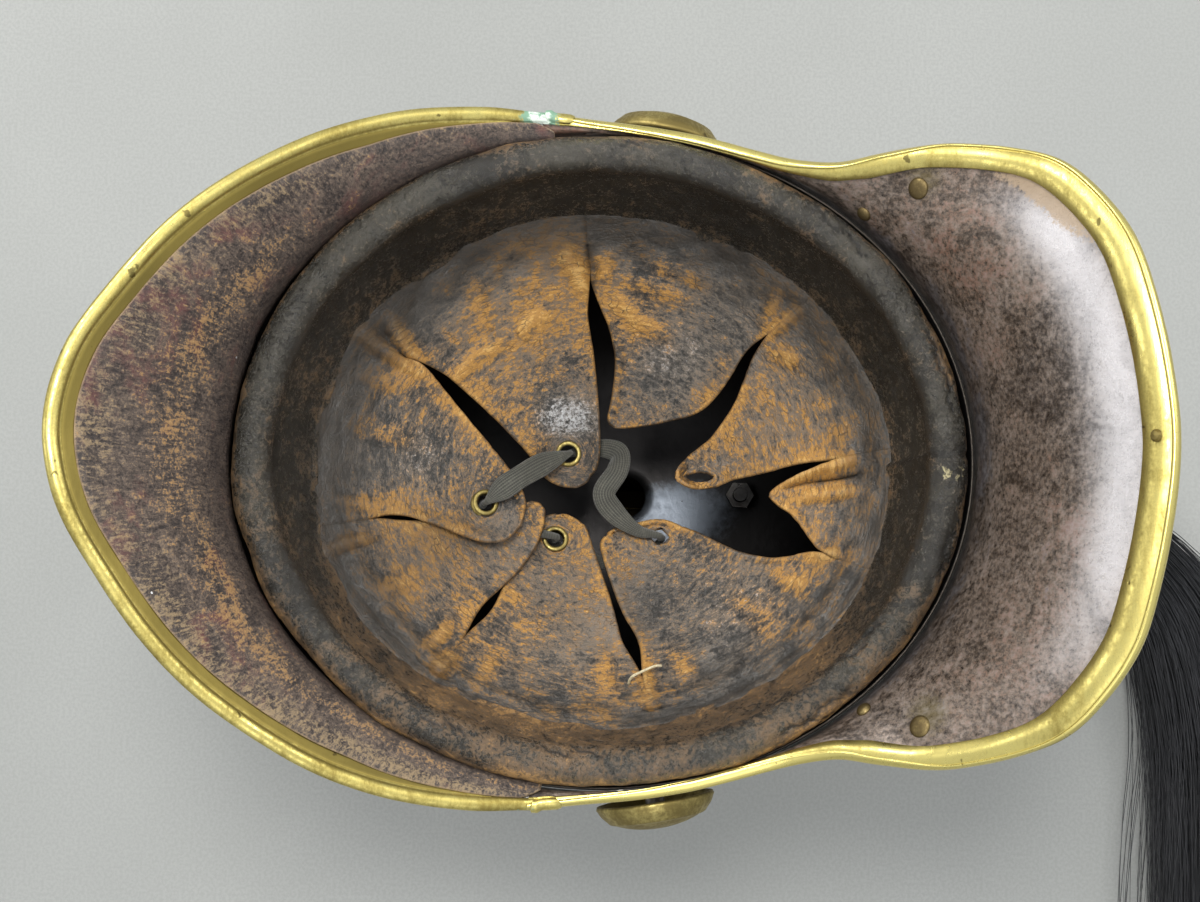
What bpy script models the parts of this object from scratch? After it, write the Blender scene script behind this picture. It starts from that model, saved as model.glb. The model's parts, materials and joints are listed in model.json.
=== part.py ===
"""A plumed comb helmet of steel, brass and leather, stored crown down on the flat of its comb.

Metres, +Z up.  The peak points to -Y and the neck guard to +Y, and the plane X = 0 mirrors the metalwork.
The origin is on the flat underside of the comb's ridge strip, below the middle of the head opening.
"""

import math

import bmesh
import bpy
from mathutils import Matrix, Vector

# Sheet metal, leather and the clearance between pieces that touch
SHEET = 0.0012
COMB_SHEET = 0.0008
LEATHER = 0.0015
GAP = 0.0003

# Skull: an ellipse in plan and a superellipse in depth
SKULL_HALF_WIDTH = 0.1012
SKULL_HALF_LENGTH = 0.115
SKULL_RIM = 0.186
SKULL_DEPTH = 0.138
SKULL_POWER = 2.3
CROWN_HOLE = Vector((0.0, 0.0096, 0.0))
CROWN_HOLE_RADIUS = 0.008

# Peak and neck guard: flanges on the outside of the skull, then a flare out to the brass edging
FLANGE_OFFSET = SHEET / 2 + 0.0006
FLANGE_DEPTH = 0.008
FLARE = 0.35
RIM_PROUD = 0.0012
RIM_WALL = 0.0007
RIM_LIP = 0.0082
PEAK_HALF = (
    (0.1072, -0.0225, 0.1900), (0.1070, -0.0380, 0.1950), (0.1035, -0.0600, 0.2020),
    (0.0960, -0.0810, 0.2090), (0.0855, -0.0985, 0.2170), (0.0730, -0.1145, 0.2240),
    (0.0590, -0.1275, 0.2300), (0.0420, -0.1390, 0.2360), (0.0220, -0.1498, 0.2415),
    (0.0000, -0.1542, 0.2430),
)
GUARD_HALF = (
    (0.1070, -0.0200, 0.1900), (0.1050, -0.0030, 0.1892), (0.1030, 0.0120, 0.1892),
    (0.0993, 0.0305, 0.1900), (0.0950, 0.0455, 0.1920), (0.0915, 0.0580, 0.1950),
    (0.0894, 0.0715, 0.2010), (0.0908, 0.0840, 0.2075), (0.0918, 0.0970, 0.2140),
    (0.0906, 0.1060, 0.2200), (0.0870, 0.1180, 0.2290), (0.0810, 0.1290, 0.2390),
    (0.0710, 0.1375, 0.2465), (0.0570, 0.1452, 0.2530), (0.0400, 0.1497, 0.2570),
    (0.0200, 0.1532, 0.2592), (0.0000, 0.1548, 0.2600),
)

# Sweatband and liner
BAND_ROWS = (
    (0.0926, 0.1045, 0.1815), (0.0905, 0.1020, 0.1720), (0.0870, 0.0980, 0.1600), (0.0850, 0.0955, 0.1508),
)
ROLL = (0.0935, 0.1055, 0.1880)
ROLL_RADIUS = 0.0057
LINER_HALF_WIDTH = 0.0845
LINER_HALF_LENGTH = 0.095
LINER_LOW = 0.112
LINER_HIGH = 0.150
SKIRT_RINGS = (0.985, 0.942, 0.90)
ROOT_RING = 0.885

# Comb, its studs and its ridge strip
RIDGE_HALF_FLAT = 0.045
RIDGE_REACH = 0.062
RIDGE_RISE = 0.110
STRIP_HALF_WIDTH = 0.0085
STRIP_FLAT_SHARE = 0.7  # how much of the strip's width its underside rests on
STRIP_THICKNESS = 0.0012
COMB_FRONT = -0.100
COMB_REAR = 0.098
STUD_Y = (-0.052, 0.052)
STUD_RADIUS = 0.0025

# Side bosses
BOSS_CENTRE = Vector((0.1053, 0.0190, 0.1650))
BOSS_TURN = math.radians(10.0)
BOSS_RADIUS = 0.0183
BOSS_HEIGHT = 0.0085
BOSS_SHEET = 0.0010
POST_RADIUS = 0.003

# Tail: a vertical pivot in a bracket on the comb, then a cross pin in a fork
SWIVEL = Vector((0.0, 0.112, 0.070))
LIFT = Vector((0.0, 0.124, 0.070))
EAR_INSIDE = 0.0058
EAR_OUTSIDE = 0.0098
BRACKET_BACK = 0.1008
BRACKET_WEB = 0.1040
EAR_END = 0.118
BRACKET_HALF_WIDTH = 0.007
PIVOT_RADIUS = 0.0020
CROSS_PIN_RADIUS = 0.0015
FORK_INSIDE = 0.0045
FORK_OUTSIDE = 0.0075
FORK_START = 0.119
FORK_BAR = (0.1312, 0.1342)
TAIL_ROUTE = (
    # centre, half width, half height
    ((0.0000, 0.1420, 0.0700), 0.0070, 0.0070), ((0.0000, 0.1520, 0.0700), 0.0075, 0.0075),
    ((0.0003, 0.1630, 0.0690), 0.0080, 0.0078), ((0.0040, 0.1810, 0.0520), 0.0110, 0.0085),
    ((0.0160, 0.2050, 0.0280), 0.0180, 0.0090),
    ((0.0430, 0.2300, 0.0140), 0.0230, 0.0092), ((0.0850, 0.2420, 0.0100), 0.0245, 0.0090),
    ((0.130, 0.2445, 0.0092), 0.0245, 0.0090), ((0.185, 0.2430, 0.0090), 0.0220, 0.0088),
    ((0.240, 0.2400, 0.0075), 0.0160, 0.0073), ((0.285, 0.2360, 0.0050), 0.0070, 0.0047),
)

LOOKS = {
    # colour, metallic, roughness
    "steel": ((0.20, 0.18, 0.17), 1.0, 0.45),
    "brass": ((0.50, 0.38, 0.14), 1.0, 0.35),
    "liner_leather": ((0.16, 0.12, 0.09), 0.0, 0.65),
    "band_leather": ((0.11, 0.10, 0.08), 0.0, 0.50),
    "peak_leather": ((0.12, 0.05, 0.04), 0.0, 0.55),
    "lace_weave": ((0.08, 0.07, 0.05), 0.0, 0.90),
    "horsehair": ((0.01, 0.01, 0.012), 0.0, 0.40),
}


# ---------------------------------------------------------------- scene, looks and small helpers

def empty_scene():
    for thing in list(bpy.data.objects):
        bpy.data.objects.remove(thing, do_unlink=True)


def new_collection(name):
    made = bpy.data.collections.new(name)
    bpy.context.scene.collection.children.link(made)
    return made


def look(name):
    """The Principled material of that name, made once."""
    made = bpy.data.materials.get(name)
    if made is None:
        colour, metallic, roughness = LOOKS[name]
        made = bpy.data.materials.new(name)
        made.use_nodes = True
        shader = made.node_tree.nodes["Principled BSDF"]
        shader.inputs["Base Color"].default_value = (*colour, 1.0)
        shader.inputs["Metallic"].default_value = metallic
        shader.inputs["Roughness"].default_value = roughness
    return made


def add_object(name, data, look_name):
    made = bpy.data.objects.new(name, data)
    PARTS.objects.link(made)
    data.materials.append(look(look_name))
    return made


def object_from_bmesh(name, work, look_name):
    bmesh.ops.recalc_face_normals(work, faces=work.faces)
    data = bpy.data.meshes.new(name)
    work.to_mesh(data)
    work.free()
    data.shade_smooth()
    data.set_sharp_from_angle(angle=math.radians(40))
    return add_object(name, data, look_name)


def object_from_faces(name, points, faces, look_name):
    work = bmesh.new()
    corners = [work.verts.new(point) for point in points]
    for face in faces:
        work.faces.new([corners[index] for index in face])
    return object_from_bmesh(name, work, look_name)


def as_cutter(thing):
    PARTS.objects.unlink(thing)
    CUTTERS.objects.link(thing)
    thing.hide_render = True
    thing.display_type = "WIRE"
    return thing


def cut(target, cutter):
    trim = target.modifiers.new(f"cut_{cutter.name}", "BOOLEAN")
    trim.operation = "DIFFERENCE"
    trim.object = cutter


def hang_on(pivot, children):
    for child in children:
        child.parent = pivot
        child.matrix_parent_inverse = Matrix.Translation(pivot.location).inverted()


def pivot_at(name, place):
    made = bpy.data.objects.new(name, None)
    PARTS.objects.link(made)
    made.location = place
    return made


def smooth_through(points, per_span):
    """A Catmull-Rom curve through the points, with per_span steps from each point to the next."""
    points = [Vector(point) for point in points]
    ends = [2 * points[0] - points[1]] + points + [2 * points[-1] - points[-2]]
    curve = []
    for before, start, end, after in zip(ends, ends[1:], ends[2:], ends[3:]):
        for step in range(per_span):
            t = step / per_span
            curve.append(0.5 * (2 * start + (end - before) * t
                                + (2 * before - 5 * start + 4 * end - after) * t**2
                                + (3 * start - before - 3 * end + after) * t**3))
    return curve + [points[-1]]


def point_along(points, share):
    """The point at a share, 0 to 1, of the Catmull-Rom curve through the points."""
    curve = smooth_through(points, 8)
    place = share * (len(curve) - 1)
    index = min(int(place), len(curve) - 2)
    return curve[index].lerp(curve[index + 1], place - index)


def grid_faces(rows, columns, closed):
    faces = []
    for row in range(rows - 1):
        for column in range(columns if closed else columns - 1):
            right = (column + 1) % columns
            faces.append((row * columns + column, row * columns + right,
                          (row + 1) * columns + right, (row + 1) * columns + column))
    return faces


def sheet(name, rows, thickness, look_name, closed=False):
    """An open surface through rows of points, thickened by half on each side."""
    points = [point for row in rows for point in row]
    made = object_from_faces(name, points, grid_faces(len(rows), len(rows[0]), closed), look_name)
    solid = made.modifiers.new("thickness", "SOLIDIFY")
    solid.thickness = thickness
    solid.offset = 0.0
    return made


def loft(name, sections, look_name):
    """A solid through closed sections of equal length, capped at both ends."""
    size = len(sections[0])
    points = [point for section in sections for point in section]
    faces = grid_faces(len(sections), size, closed=True)
    faces.append(tuple(range(size)))
    faces.append(tuple(range(len(points) - size, len(points))))
    return object_from_faces(name, points, faces, look_name)


def pointing(place, direction):
    """A matrix that puts local Z along direction at place."""
    turn = Vector(direction).to_track_quat("Z", "Y").to_matrix().to_4x4()
    return Matrix.Translation(place) @ turn


def rod(name, radius, low, high, place, look_name, sides=16):
    """A cylinder along place's local Z, from low to high."""
    work = bmesh.new()
    middle = Matrix.Translation((0, 0, (low + high) / 2))
    bmesh.ops.create_cone(work, cap_ends=True, segments=sides, radius1=radius, radius2=radius,
                          depth=high - low, matrix=middle)
    made = object_from_bmesh(name, work, look_name)
    made.matrix_world = place
    return made


def turned(name, profile, place, look_name, steps=20):
    """A profile of (radius, height) points from top to bottom, turned about place's local Z."""
    data = bpy.data.meshes.new(name)
    points = [(radius, 0.0, height) for radius, height in profile]
    data.from_pydata(points, [(index, index + 1) for index in range(len(points) - 1)], [])
    made = add_object(name, data, look_name)
    made.matrix_world = place
    screw = made.modifiers.new("turn", "SCREW")
    screw.steps = screw.render_steps = steps
    screw.use_merge_vertices = True
    screw.merge_threshold = 0.00001
    weld = made.modifiers.new("weld", "WELD")
    weld.merge_threshold = 0.00001
    return made


def flat_outline(name, outline, low, high, place, look_name):
    """A filled outline of (x, y) points in place's plane, from low to high along its local Z."""
    work = bmesh.new()
    floor = [work.verts.new((x, y, low)) for x, y in outline]
    face = work.faces.new(floor)
    raised = bmesh.ops.extrude_face_region(work, geom=[face])["geom"]
    lifted = [item for item in raised if isinstance(item, bmesh.types.BMVert)]
    bmesh.ops.translate(work, verts=lifted, vec=(0, 0, high - low))
    made = object_from_bmesh(name, work, look_name)
    made.matrix_world = place
    return made


# ---------------------------------------------------------------- skull

def skull_height(x, y, grown=0.0):
    """Height of the skull's outside, grown outward, at a place in plan."""
    ring = math.hypot(x / (SKULL_HALF_WIDTH + grown), y / (SKULL_HALF_LENGTH + grown))
    left = max(0.0, 1.0 - ring**SKULL_POWER)
    return SKULL_RIM - (SKULL_DEPTH + grown) * left ** (1 / SKULL_POWER)


def build_skull():
    work = bmesh.new()
    bmesh.ops.create_uvsphere(work, u_segments=44, v_segments=22, radius=1.0)
    above = [vert for vert in work.verts if vert.co.z > 0.001]
    bmesh.ops.delete(work, geom=above, context="VERTS")
    bend = 2 / SKULL_POWER
    for vert in work.verts:
        across = math.hypot(vert.co.x, vert.co.y)
        spread = across ** (bend - 1) if across > 0.0001 else 0.0
        depth = max(0.0, -vert.co.z) ** bend
        vert.co = (SKULL_HALF_WIDTH * spread * vert.co.x, SKULL_HALF_LENGTH * spread * vert.co.y,
                   SKULL_RIM - SKULL_DEPTH * depth)
    skull = object_from_bmesh("skull", work, "steel")
    solid = skull.modifiers.new("thickness", "SOLIDIFY")
    solid.thickness = SHEET
    solid.offset = -1.0
    solid.use_even_offset = True
    crown = Matrix.Translation(CROWN_HOLE)
    cut(skull, as_cutter(rod("crown_hole", CROWN_HOLE_RADIUS, 0.040, 0.060, crown, "steel", 24)))
    return skull


# ---------------------------------------------------------------- peak, neck guard and their edging

def mirrored(half):
    """A half outline, from the side to the middle, and its mirror image back to the other side."""
    return list(half) + [(-x, y, z) for x, y, z in reversed(half[:-1])]


def flare(rim_edge):
    """One section of a flared plate: its points from the flange to the edge, its lip and its last direction."""
    width = SKULL_HALF_WIDTH + FLANGE_OFFSET
    length = SKULL_HALF_LENGTH + FLANGE_OFFSET
    angle = math.atan2(rim_edge.y / length, rim_edge.x / width)
    foot = Vector((width * math.cos(angle), length * math.sin(angle), SKULL_RIM + 0.0008))
    outward = Vector((math.cos(angle) / width, math.sin(angle) / length, 0.0)).normalized()
    span = rim_edge - foot
    last = (span.normalized() + FLARE * outward).normalized()
    lip = min(RIM_LIP, 0.3 * span.length)
    edge = rim_edge - RIM_PROUD * last
    knee = edge - (lip + 0.0010) * last
    pull = (knee - foot).length
    points = [foot - Vector((0, 0, FLANGE_DEPTH)), foot]
    for step in range(1, 5):
        t = step / 4
        points.append((2 * t**3 - 3 * t**2 + 1) * foot + (t**3 - 2 * t**2 + t) * pull * Vector((0, 0, 1))
                      + (3 * t**2 - 2 * t**3) * knee + (t**3 - t**2) * pull * last)
    points.append(edge)
    return points, lip, last


def normal_at(rows, row, column):
    """The unit normal of a grid of points there, on the side that faces the head."""
    along = rows[row][min(column + 1, len(rows[row]) - 1)] - rows[row][max(column - 1, 0)]
    across = rows[min(row + 1, len(rows) - 1)][column] - rows[max(row - 1, 0)][column]
    normal = along.cross(across).normalized()
    inward = Vector((-rows[row][column].x, -rows[row][column].y, 0.03))
    return normal if normal.dot(inward) > 0 else -normal


def channel(edge, last, along, lip):
    """A brass edging's section: a U that wraps the plate's edge with a small clearance."""
    normal = along.cross(last).normalized()
    slot = SHEET / 2 + 2 * GAP
    wall = slot + RIM_WALL
    shape = ((-lip, wall), (0.2 * RIM_PROUD, wall), (0.8 * RIM_PROUD, 0.7 * wall), (RIM_PROUD, 0.0),
             (0.8 * RIM_PROUD, -0.7 * wall), (0.2 * RIM_PROUD, -wall), (-lip, -wall),
             (-lip, -slot), (GAP, -slot), (GAP, slot), (-lip, slot))
    return [edge + out * last + up * normal for out, up in shape]


def build_flared_plate(plate_name, rim_name, half, per_span):
    """A plate from the skull to its outline and the brass channel along its edge; returns the plate's rows."""
    outline = smooth_through(mirrored(half), per_span)
    sections = [flare(point) for point in outline]
    rows = [[points[row] for points, _, _ in sections] for row in range(len(sections[0][0]))]
    plate = sheet(plate_name, rows, SHEET, "steel")
    rims = []
    for index, (points, lip, last) in enumerate(sections):
        along = outline[min(index + 1, len(outline) - 1)] - outline[max(index - 1, 0)]
        rims.append(channel(points[-1], last, along, lip))
    loft(rim_name, rims, "brass")
    return plate, rows


def build_peak_lining(rows):
    """Leather on the peak's underside, from beside the sweatband to just short of the edging."""
    away = SHEET / 2 + GAP + LEATHER / 2
    first, last_column = 2, len(rows[0]) - 3
    lining = []
    for row in range(1, len(rows) - 1):
        line = []
        for column in range(first, last_column + 1):
            inside = normal_at(rows, row, column)
            point = rows[row][column] + away * inside
            if row == len(rows) - 2:
                point = point + 0.08 * (rows[row - 1][column] - rows[row][column])
            if row == 1:
                point = point + 0.12 * (rows[2][column] - rows[1][column])
            line.append(point)
        lining.append(line)
    return sheet("peak_lining", lining, LEATHER * 0.7, "peak_leather")


def build_rivet(name, rows, row, column, plate, head=0.0030):
    """A domed rivet through the plate at a grid point, in a hole drilled with a little clearance."""
    place = pointing(rows[row][column], normal_at(rows, row, column))
    top = SHEET / 2 + 1.6 * GAP
    shank = 0.45 * head
    profile = [(0.0, top + 0.6 * head), (0.5 * head, top + 0.5 * head), (0.87 * head, top + 0.25 * head),
               (head, top), (shank, top), (shank, -top), (0.75 * head, -top),
               (0.6 * head, -top - 0.3 * head), (0.0, -top - 0.4 * head)]
    turned(name, profile, place, "steel", steps=12)
    hole = rod(f"{name}_hole", shank + GAP, -0.004, 0.004, place, "steel", 12)
    cut(plate, as_cutter(hole))


def build_rear_pin(rows):
    """The small round-headed pin through the middle of the neck guard's edging, seen from the head side."""
    column = len(rows[0]) // 2
    across = (rows[-1][column] - rows[-2][column]).normalized()
    edge = rows[-1][column] - 0.0045 * across
    place = pointing(edge, normal_at(rows, len(rows) - 1, column))
    base = SHEET / 2 + 3.2 * GAP + RIM_WALL
    profile = [(0.0, base + 0.0012), (0.0012, base + 0.0009), (0.0018, base), (0.0, base)]
    return turned("rear_rim_pin", profile, place, "brass", steps=12)


# ---------------------------------------------------------------- sweatband and liner

def oval(half_width, half_length, height, count=44):
    turns = [2 * math.pi * step / count for step in range(count)]
    return [Vector((half_width * math.cos(turn), half_length * math.sin(turn), height)) for turn in turns]


def build_sweatband():
    sheet("sweatband", [oval(*row) for row in BAND_ROWS], LEATHER, "band_leather", closed=True)
    data = bpy.data.curves.new("sweatband_roll", "CURVE")
    data.dimensions = "3D"
    data.bevel_depth = ROLL_RADIUS
    data.bevel_resolution = 2
    spline = data.splines.new("POLY")
    points = oval(*ROLL, count=52)
    spline.points.add(len(points) - 1)
    for target, point in zip(spline.points, points):
        target.co = (*point, 1.0)
    spline.use_cyclic_u = True
    add_object("sweatband_roll", data, "band_leather")


def liner_ring(x, y):
    return math.hypot(x / LINER_HALF_WIDTH, y / LINER_HALF_LENGTH)


def liner_height(x, y):
    """The leather liner hangs as a shallow bowl between the head and the skull."""
    return LINER_LOW + (LINER_HIGH - LINER_LOW) * liner_ring(x, y) ** 2


def build_liner_skirt():
    rows = []
    for ring in SKIRT_RINGS:
        row = oval(LINER_HALF_WIDTH * ring, LINER_HALF_LENGTH * ring, 0.0)
        rows.append([Vector((point.x, point.y, liner_height(point.x, point.y))) for point in row])
    sheet("liner_skirt", rows, LEATHER, "liner_leather", closed=True)


# Each tongue: its two edges from root to tip in plan, millimetres, how far its tip rides over its neighbours,
# and where its lace hole is, as shares of its length and width.  The order runs round the head opening.
TONGUES = {
    1: (((-41, -70), (-36, -57), (-25, -42), (-10, -26), (0, -18), (3, -11)),
        ((-75, -8), (-58, -6), (-40, -3), (-20, -1), (-7, -1), (2, -5)), 3.0, (0.70, 0.50)),
    2: (((-75, -3), (-60, -1), (-50, 3), (-40, 5), (-28, 4), (-19, 2)),
        ((-54, 60), (-46, 50), (-34, 43), (-24, 34), (-20, 20), (-18, 8)), 1.0, None),
    3: (((-51, 63), (-38, 51), (-26, 46), (-15, 39), (-8, 31), (-3, 26)),
        ((-9, 84), (-7, 74), (-3, 58), (0, 44), (2, 37), (3, 30)), 3.0, None),
    4: (((-5, 84), (-3, 77), (0, 66), (5, 57)),
        ((26, 79), (22, 73), (14, 66), (8, 58)), 5.0, None),
    5: (((30, 78), (27, 69), (28, 61), (25, 47), (17, 30), (15, 14), (16, 7)),
        ((74, 20), (59, 16), (46, 9), (36, 5), (27, 2), (22, 1), (19, 3)), 0.0, (0.68, 0.30)),
    6: (((74, 14), (59, 9), (42, 4), (25, -2), (17, -5), (14, -9)),
        ((63, -45), (48, -36), (34, -30), (22, -24), (16, -20), (13, -14)), 0.0, (0.65, 0.60)),
    7: (((59, -50), (47, -41), (33, -28), (22, -21), (13, -19), (9, -21)),
        ((21, -82), (18, -70), (17, -56), (18, -43), (14, -33), (9, -25)), 6.5, None),
    8: (((16, -83), (14, -71), (17, -57), (22, -42), (23, -35), (21, -29)),
        ((-37, -73), (-34, -60), (-20, -47), (-5, -34), (5, -27), (14, -25)), 10.5, (0.60, 0.45)),
}
RINGED = (1, 6, 8)  # the tongues whose lace hole still has its brass eyelet
BARE_HOLE = 0.0030
EYELET_BORE = 0.0029
EYELET_BARREL = 0.0034
EYELET_FLANGE = 0.0044
EYELET_HOLE = 0.0038


def tongue_point(tongue, along, across):
    """A point on a tongue's middle surface, from root (0) to tip (1) and from edge to edge."""
    left, right, rise, _ = TONGUES[tongue]
    millimetre = 0.001
    start = Vector((*left[0], 0)).lerp(Vector((*right[0], 0)), across) * millimetre
    bulge = ROOT_RING / liner_ring(start.x, start.y) - 1.0
    edges = [point_along([(x, y, 0) for x, y in edge], along) for edge in (left, right)]
    flat = edges[0].lerp(edges[1], across) * millimetre * (1 + bulge * (1 - along) ** 2)
    lift = rise * millimetre * math.sin(along * math.pi / 2)
    return Vector((flat.x, flat.y, liner_height(flat.x, flat.y) + lift))


def tongue_normal(tongue, along, across):
    """The tongue's upward unit normal, on the head's side."""
    step = 0.02
    length = tongue_point(tongue, along + step, across) - tongue_point(tongue, along - step, across)
    width = tongue_point(tongue, along, across + step) - tongue_point(tongue, along, across - step)
    normal = length.cross(width).normalized()
    return normal if normal.z > 0 else -normal


def tongue_hinge(tongue):
    """The middle of the chord across the root, and its direction: a positive turn lifts the tip."""
    first = tongue_point(tongue, 0.0, 0.0)
    second = tongue_point(tongue, 0.0, 1.0)
    middle = (first + second) / 2
    axis = (second - first).normalized()
    tip = tongue_point(tongue, 1.0, 0.5)
    return middle, axis if axis.cross(tip - middle).z > 0 else -axis


def build_tongue(tongue):
    lengths = [step / 7 for step in range(8)]
    widths = [step / 5 for step in range(6)]
    rows = [[tongue_point(tongue, along, across) for across in widths] for along in lengths]
    leather = sheet(f"liner_tongue_{tongue}", rows, LEATHER, "liner_leather")
    pieces = [leather]
    spot = TONGUES[tongue][3]
    if spot:
        place = pointing(tongue_point(tongue, *spot), tongue_normal(tongue, *spot))
        radius = EYELET_HOLE if tongue in RINGED else BARE_HOLE
        hole = as_cutter(rod(f"tongue_{tongue}_hole", radius, -0.004, 0.004, place, "brass", 16))
        cut(leather, hole)
        pieces.append(hole)
        if tongue in RINGED:
            pieces.append(build_eyelet(f"tongue_eyelet_{tongue}", place))
    middle, _ = tongue_hinge(tongue)
    hang_on(pivot_at(f"tongue_{tongue}_root", middle), pieces)


def build_eyelet(name, place):
    """A brass barrel with a rolled flange on the head's side and a flat one behind."""
    top = LEATHER / 2 + 1.7 * GAP
    profile = [(EYELET_BORE + 0.0003, top + 0.0007), (EYELET_FLANGE - 0.0003, top + 0.0006),
               (EYELET_FLANGE, top), (EYELET_BARREL, top), (EYELET_BARREL, -top),
               (EYELET_FLANGE, -top), (EYELET_FLANGE, -top - 0.0003), (EYELET_BORE, -top - 0.0003),
               (EYELET_BORE, top + 0.0004), (EYELET_BORE + 0.0003, top + 0.0007)]
    return turned(name, profile, place, "brass", steps=14)


# ---------------------------------------------------------------- lace

LACE_HALF_WIDTH = 0.0027
LACE_HALF_THICKNESS = 0.0006
GATHERED = 0.0011  # half width where the lace is bunched up in an eyelet


def lace_route():
    """Points along the lace, each with its half width; near() is so many millimetres above a lace hole."""
    def near(tongue, height):
        spot = TONGUES[tongue][3]
        return tongue_point(tongue, *spot) + 0.001 * height * tongue_normal(tongue, *spot)

    wide, bunched = LACE_HALF_WIDTH, GATHERED
    return [
        ((0.004, -0.050, 0.1080), wide), ((0.006, -0.045, 0.1130), wide),
        (near(8, -3.4), 0.7 * wide), (near(8, 0.0), bunched), (near(8, 2.9), bunched),
        ((0.0055, -0.0330, 0.1295), wide), ((0.0010, -0.0270, 0.1282), wide),
        ((-0.0045, -0.0190, 0.1222), wide),
        (near(1, 2.9), bunched), (near(1, 0.0), bunched), (near(1, -3.4), bunched),
        ((-0.0115, -0.0010, 0.1095), wide), ((-0.0095, 0.0060, 0.1130), wide),
        ((-0.0030, 0.0060, 0.1175), wide), ((0.0050, 0.0015, 0.1190), wide), ((0.0115, 0.0050, 0.1180), wide),
        ((0.0180, 0.0130, 0.1175), wide), (near(5, 2.9), bunched), (near(5, 0.0), bunched),
        (near(5, -3.4), bunched), ((0.0285, 0.0130, 0.1090), wide), ((0.0275, -0.0020, 0.1085), wide),
        (near(6, -3.6), bunched), (near(6, 0.0), bunched), (near(6, 3.5), bunched),
        ((0.0193, -0.0205, 0.1193), 0.6 * wide), ((0.0190, -0.0260, 0.1192), 0.8 * wide),
        ((0.0190, -0.0330, 0.1170), wide),
        ((0.0240, -0.0400, 0.1115), wide), ((0.0260, -0.0470, 0.1055), wide),
    ]


def build_lace():
    route = lace_route()
    per_span = 4
    places = smooth_through([place for place, _ in route], per_span)
    halves = smooth_through([(half, 0, 0) for _, half in route], per_span)
    sections = []
    side = Vector((1, 0, 0))
    for index, place in enumerate(places):
        along = (places[min(index + 1, len(places) - 1)] - places[max(index - 1, 0)]).normalized()
        side = (side - side.dot(along) * along).normalized()
        level = along.cross(Vector((0, 0, 1)))
        if level.length > 0.35:
            level = level.normalized() if level.dot(side) > 0 else -level.normalized()
            side = side.lerp(level, 0.5).normalized()
        face = along.cross(side)
        half = halves[index].x
        thick = LACE_HALF_THICKNESS * (1.6 if half < 0.0015 else 1.0)
        sections.append([place + half * side + thick * face, place - half * side + thick * face,
                         place - half * side - thick * face, place + half * side - thick * face])
    return loft("lace", sections, "lace_weave")


# ---------------------------------------------------------------- comb

def ridge(y, inset=0.0):
    """A point on the comb's ridge at y, moved towards the skull by inset."""
    beyond = abs(y) - RIDGE_HALF_FLAT
    if beyond <= 0:
        return Vector((0.0, y, inset))
    share = beyond / RIDGE_REACH
    height = RIDGE_RISE * (1 - math.sqrt(1 - share**2))
    slope = RIDGE_RISE * share / (RIDGE_REACH * math.sqrt(1 - share**2))
    inward = Vector((0.0, -math.copysign(slope, y), 1.0)).normalized()
    return Vector((0.0, y, height)) + inset * inward


def comb_stations():
    count = 7
    front = [COMB_FRONT + (COMB_FRONT + RIDGE_HALF_FLAT) * -step / count for step in range(count + 1)]
    rear = [RIDGE_HALF_FLAT + (COMB_REAR - RIDGE_HALF_FLAT) * step / count for step in range(count + 1)]
    middle = [RIDGE_HALF_FLAT * step / 5 for step in range(-4, 5)]
    return front + middle + rear


def comb_section(y, side):
    """Half a comb: flat under the ridge strip, a side that spreads downward, and a foot along the skull."""
    top = ridge(y, STRIP_THICKNESS + GAP + COMB_SHEET / 2)
    inner, knuckle, waist, foot, toe = 0.0005, 0.0076, 0.0098, 0.0118, 0.0165
    clear = COMB_SHEET / 2 + 2 * GAP
    base = skull_height(foot, y, clear) - 0.0012
    middle = 0.55 * top.z + 0.45 * base
    shape = [(inner, top.y, top.z), (knuckle - 0.0012, top.y, top.z), (knuckle, top.y, top.z + 0.0012),
             (waist, (top.y + y) / 2, middle), (foot, y, base),
             (foot + 0.0012, y, skull_height(foot + 0.0012, y, clear)), (toe, y, skull_height(toe, y, clear))]
    return [Vector((side * x, along, height)) for x, along, height in shape]


def build_comb():
    stations = comb_stations()
    for name, side in (("comb_left", -1), ("comb_right", 1)):
        sections = [comb_section(y, side) for y in stations]
        sheet(name, [list(row) for row in zip(*sections)], COMB_SHEET, "brass")
    build_ridge_strip(stations)
    build_comb_cap("comb_front_cap", COMB_FRONT - GAP - 0.0012, -1)
    build_comb_cap("comb_rear_cap", COMB_REAR + GAP + 0.0012, 1)


def build_ridge_strip(stations):
    sections = []
    for y in stations:
        low, high = ridge(y), ridge(y, STRIP_THICKNESS)
        wide = Vector((STRIP_HALF_WIDTH, 0, 0))
        flat = STRIP_FLAT_SHARE * wide
        sections.append([low - flat, low + flat, low + wide, high + wide, high - wide, low - wide])
    loft("comb_ridge_strip", sections, "brass")


def build_comb_cap(name, y, facing):
    """A flat plate that closes one end of the comb, in the plane Y = y."""
    near = ridge(y - facing * 0.0015, STRIP_THICKNESS + GAP).z + 0.0008
    far = skull_height(0.0, y - facing * 0.0010) - 0.0040
    outline = [(-0.0072, near), (0.0072, near), (0.0092, 0.5 * (near + far)), (0.0110, far),
               (-0.0110, far), (-0.0092, 0.5 * (near + far))]
    upright = Matrix.Translation((0, y, 0)) @ Matrix.Rotation(math.radians(90), 4, "X")
    flat_outline(name, outline, -0.0005, 0.0005, upright, "brass")


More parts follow.
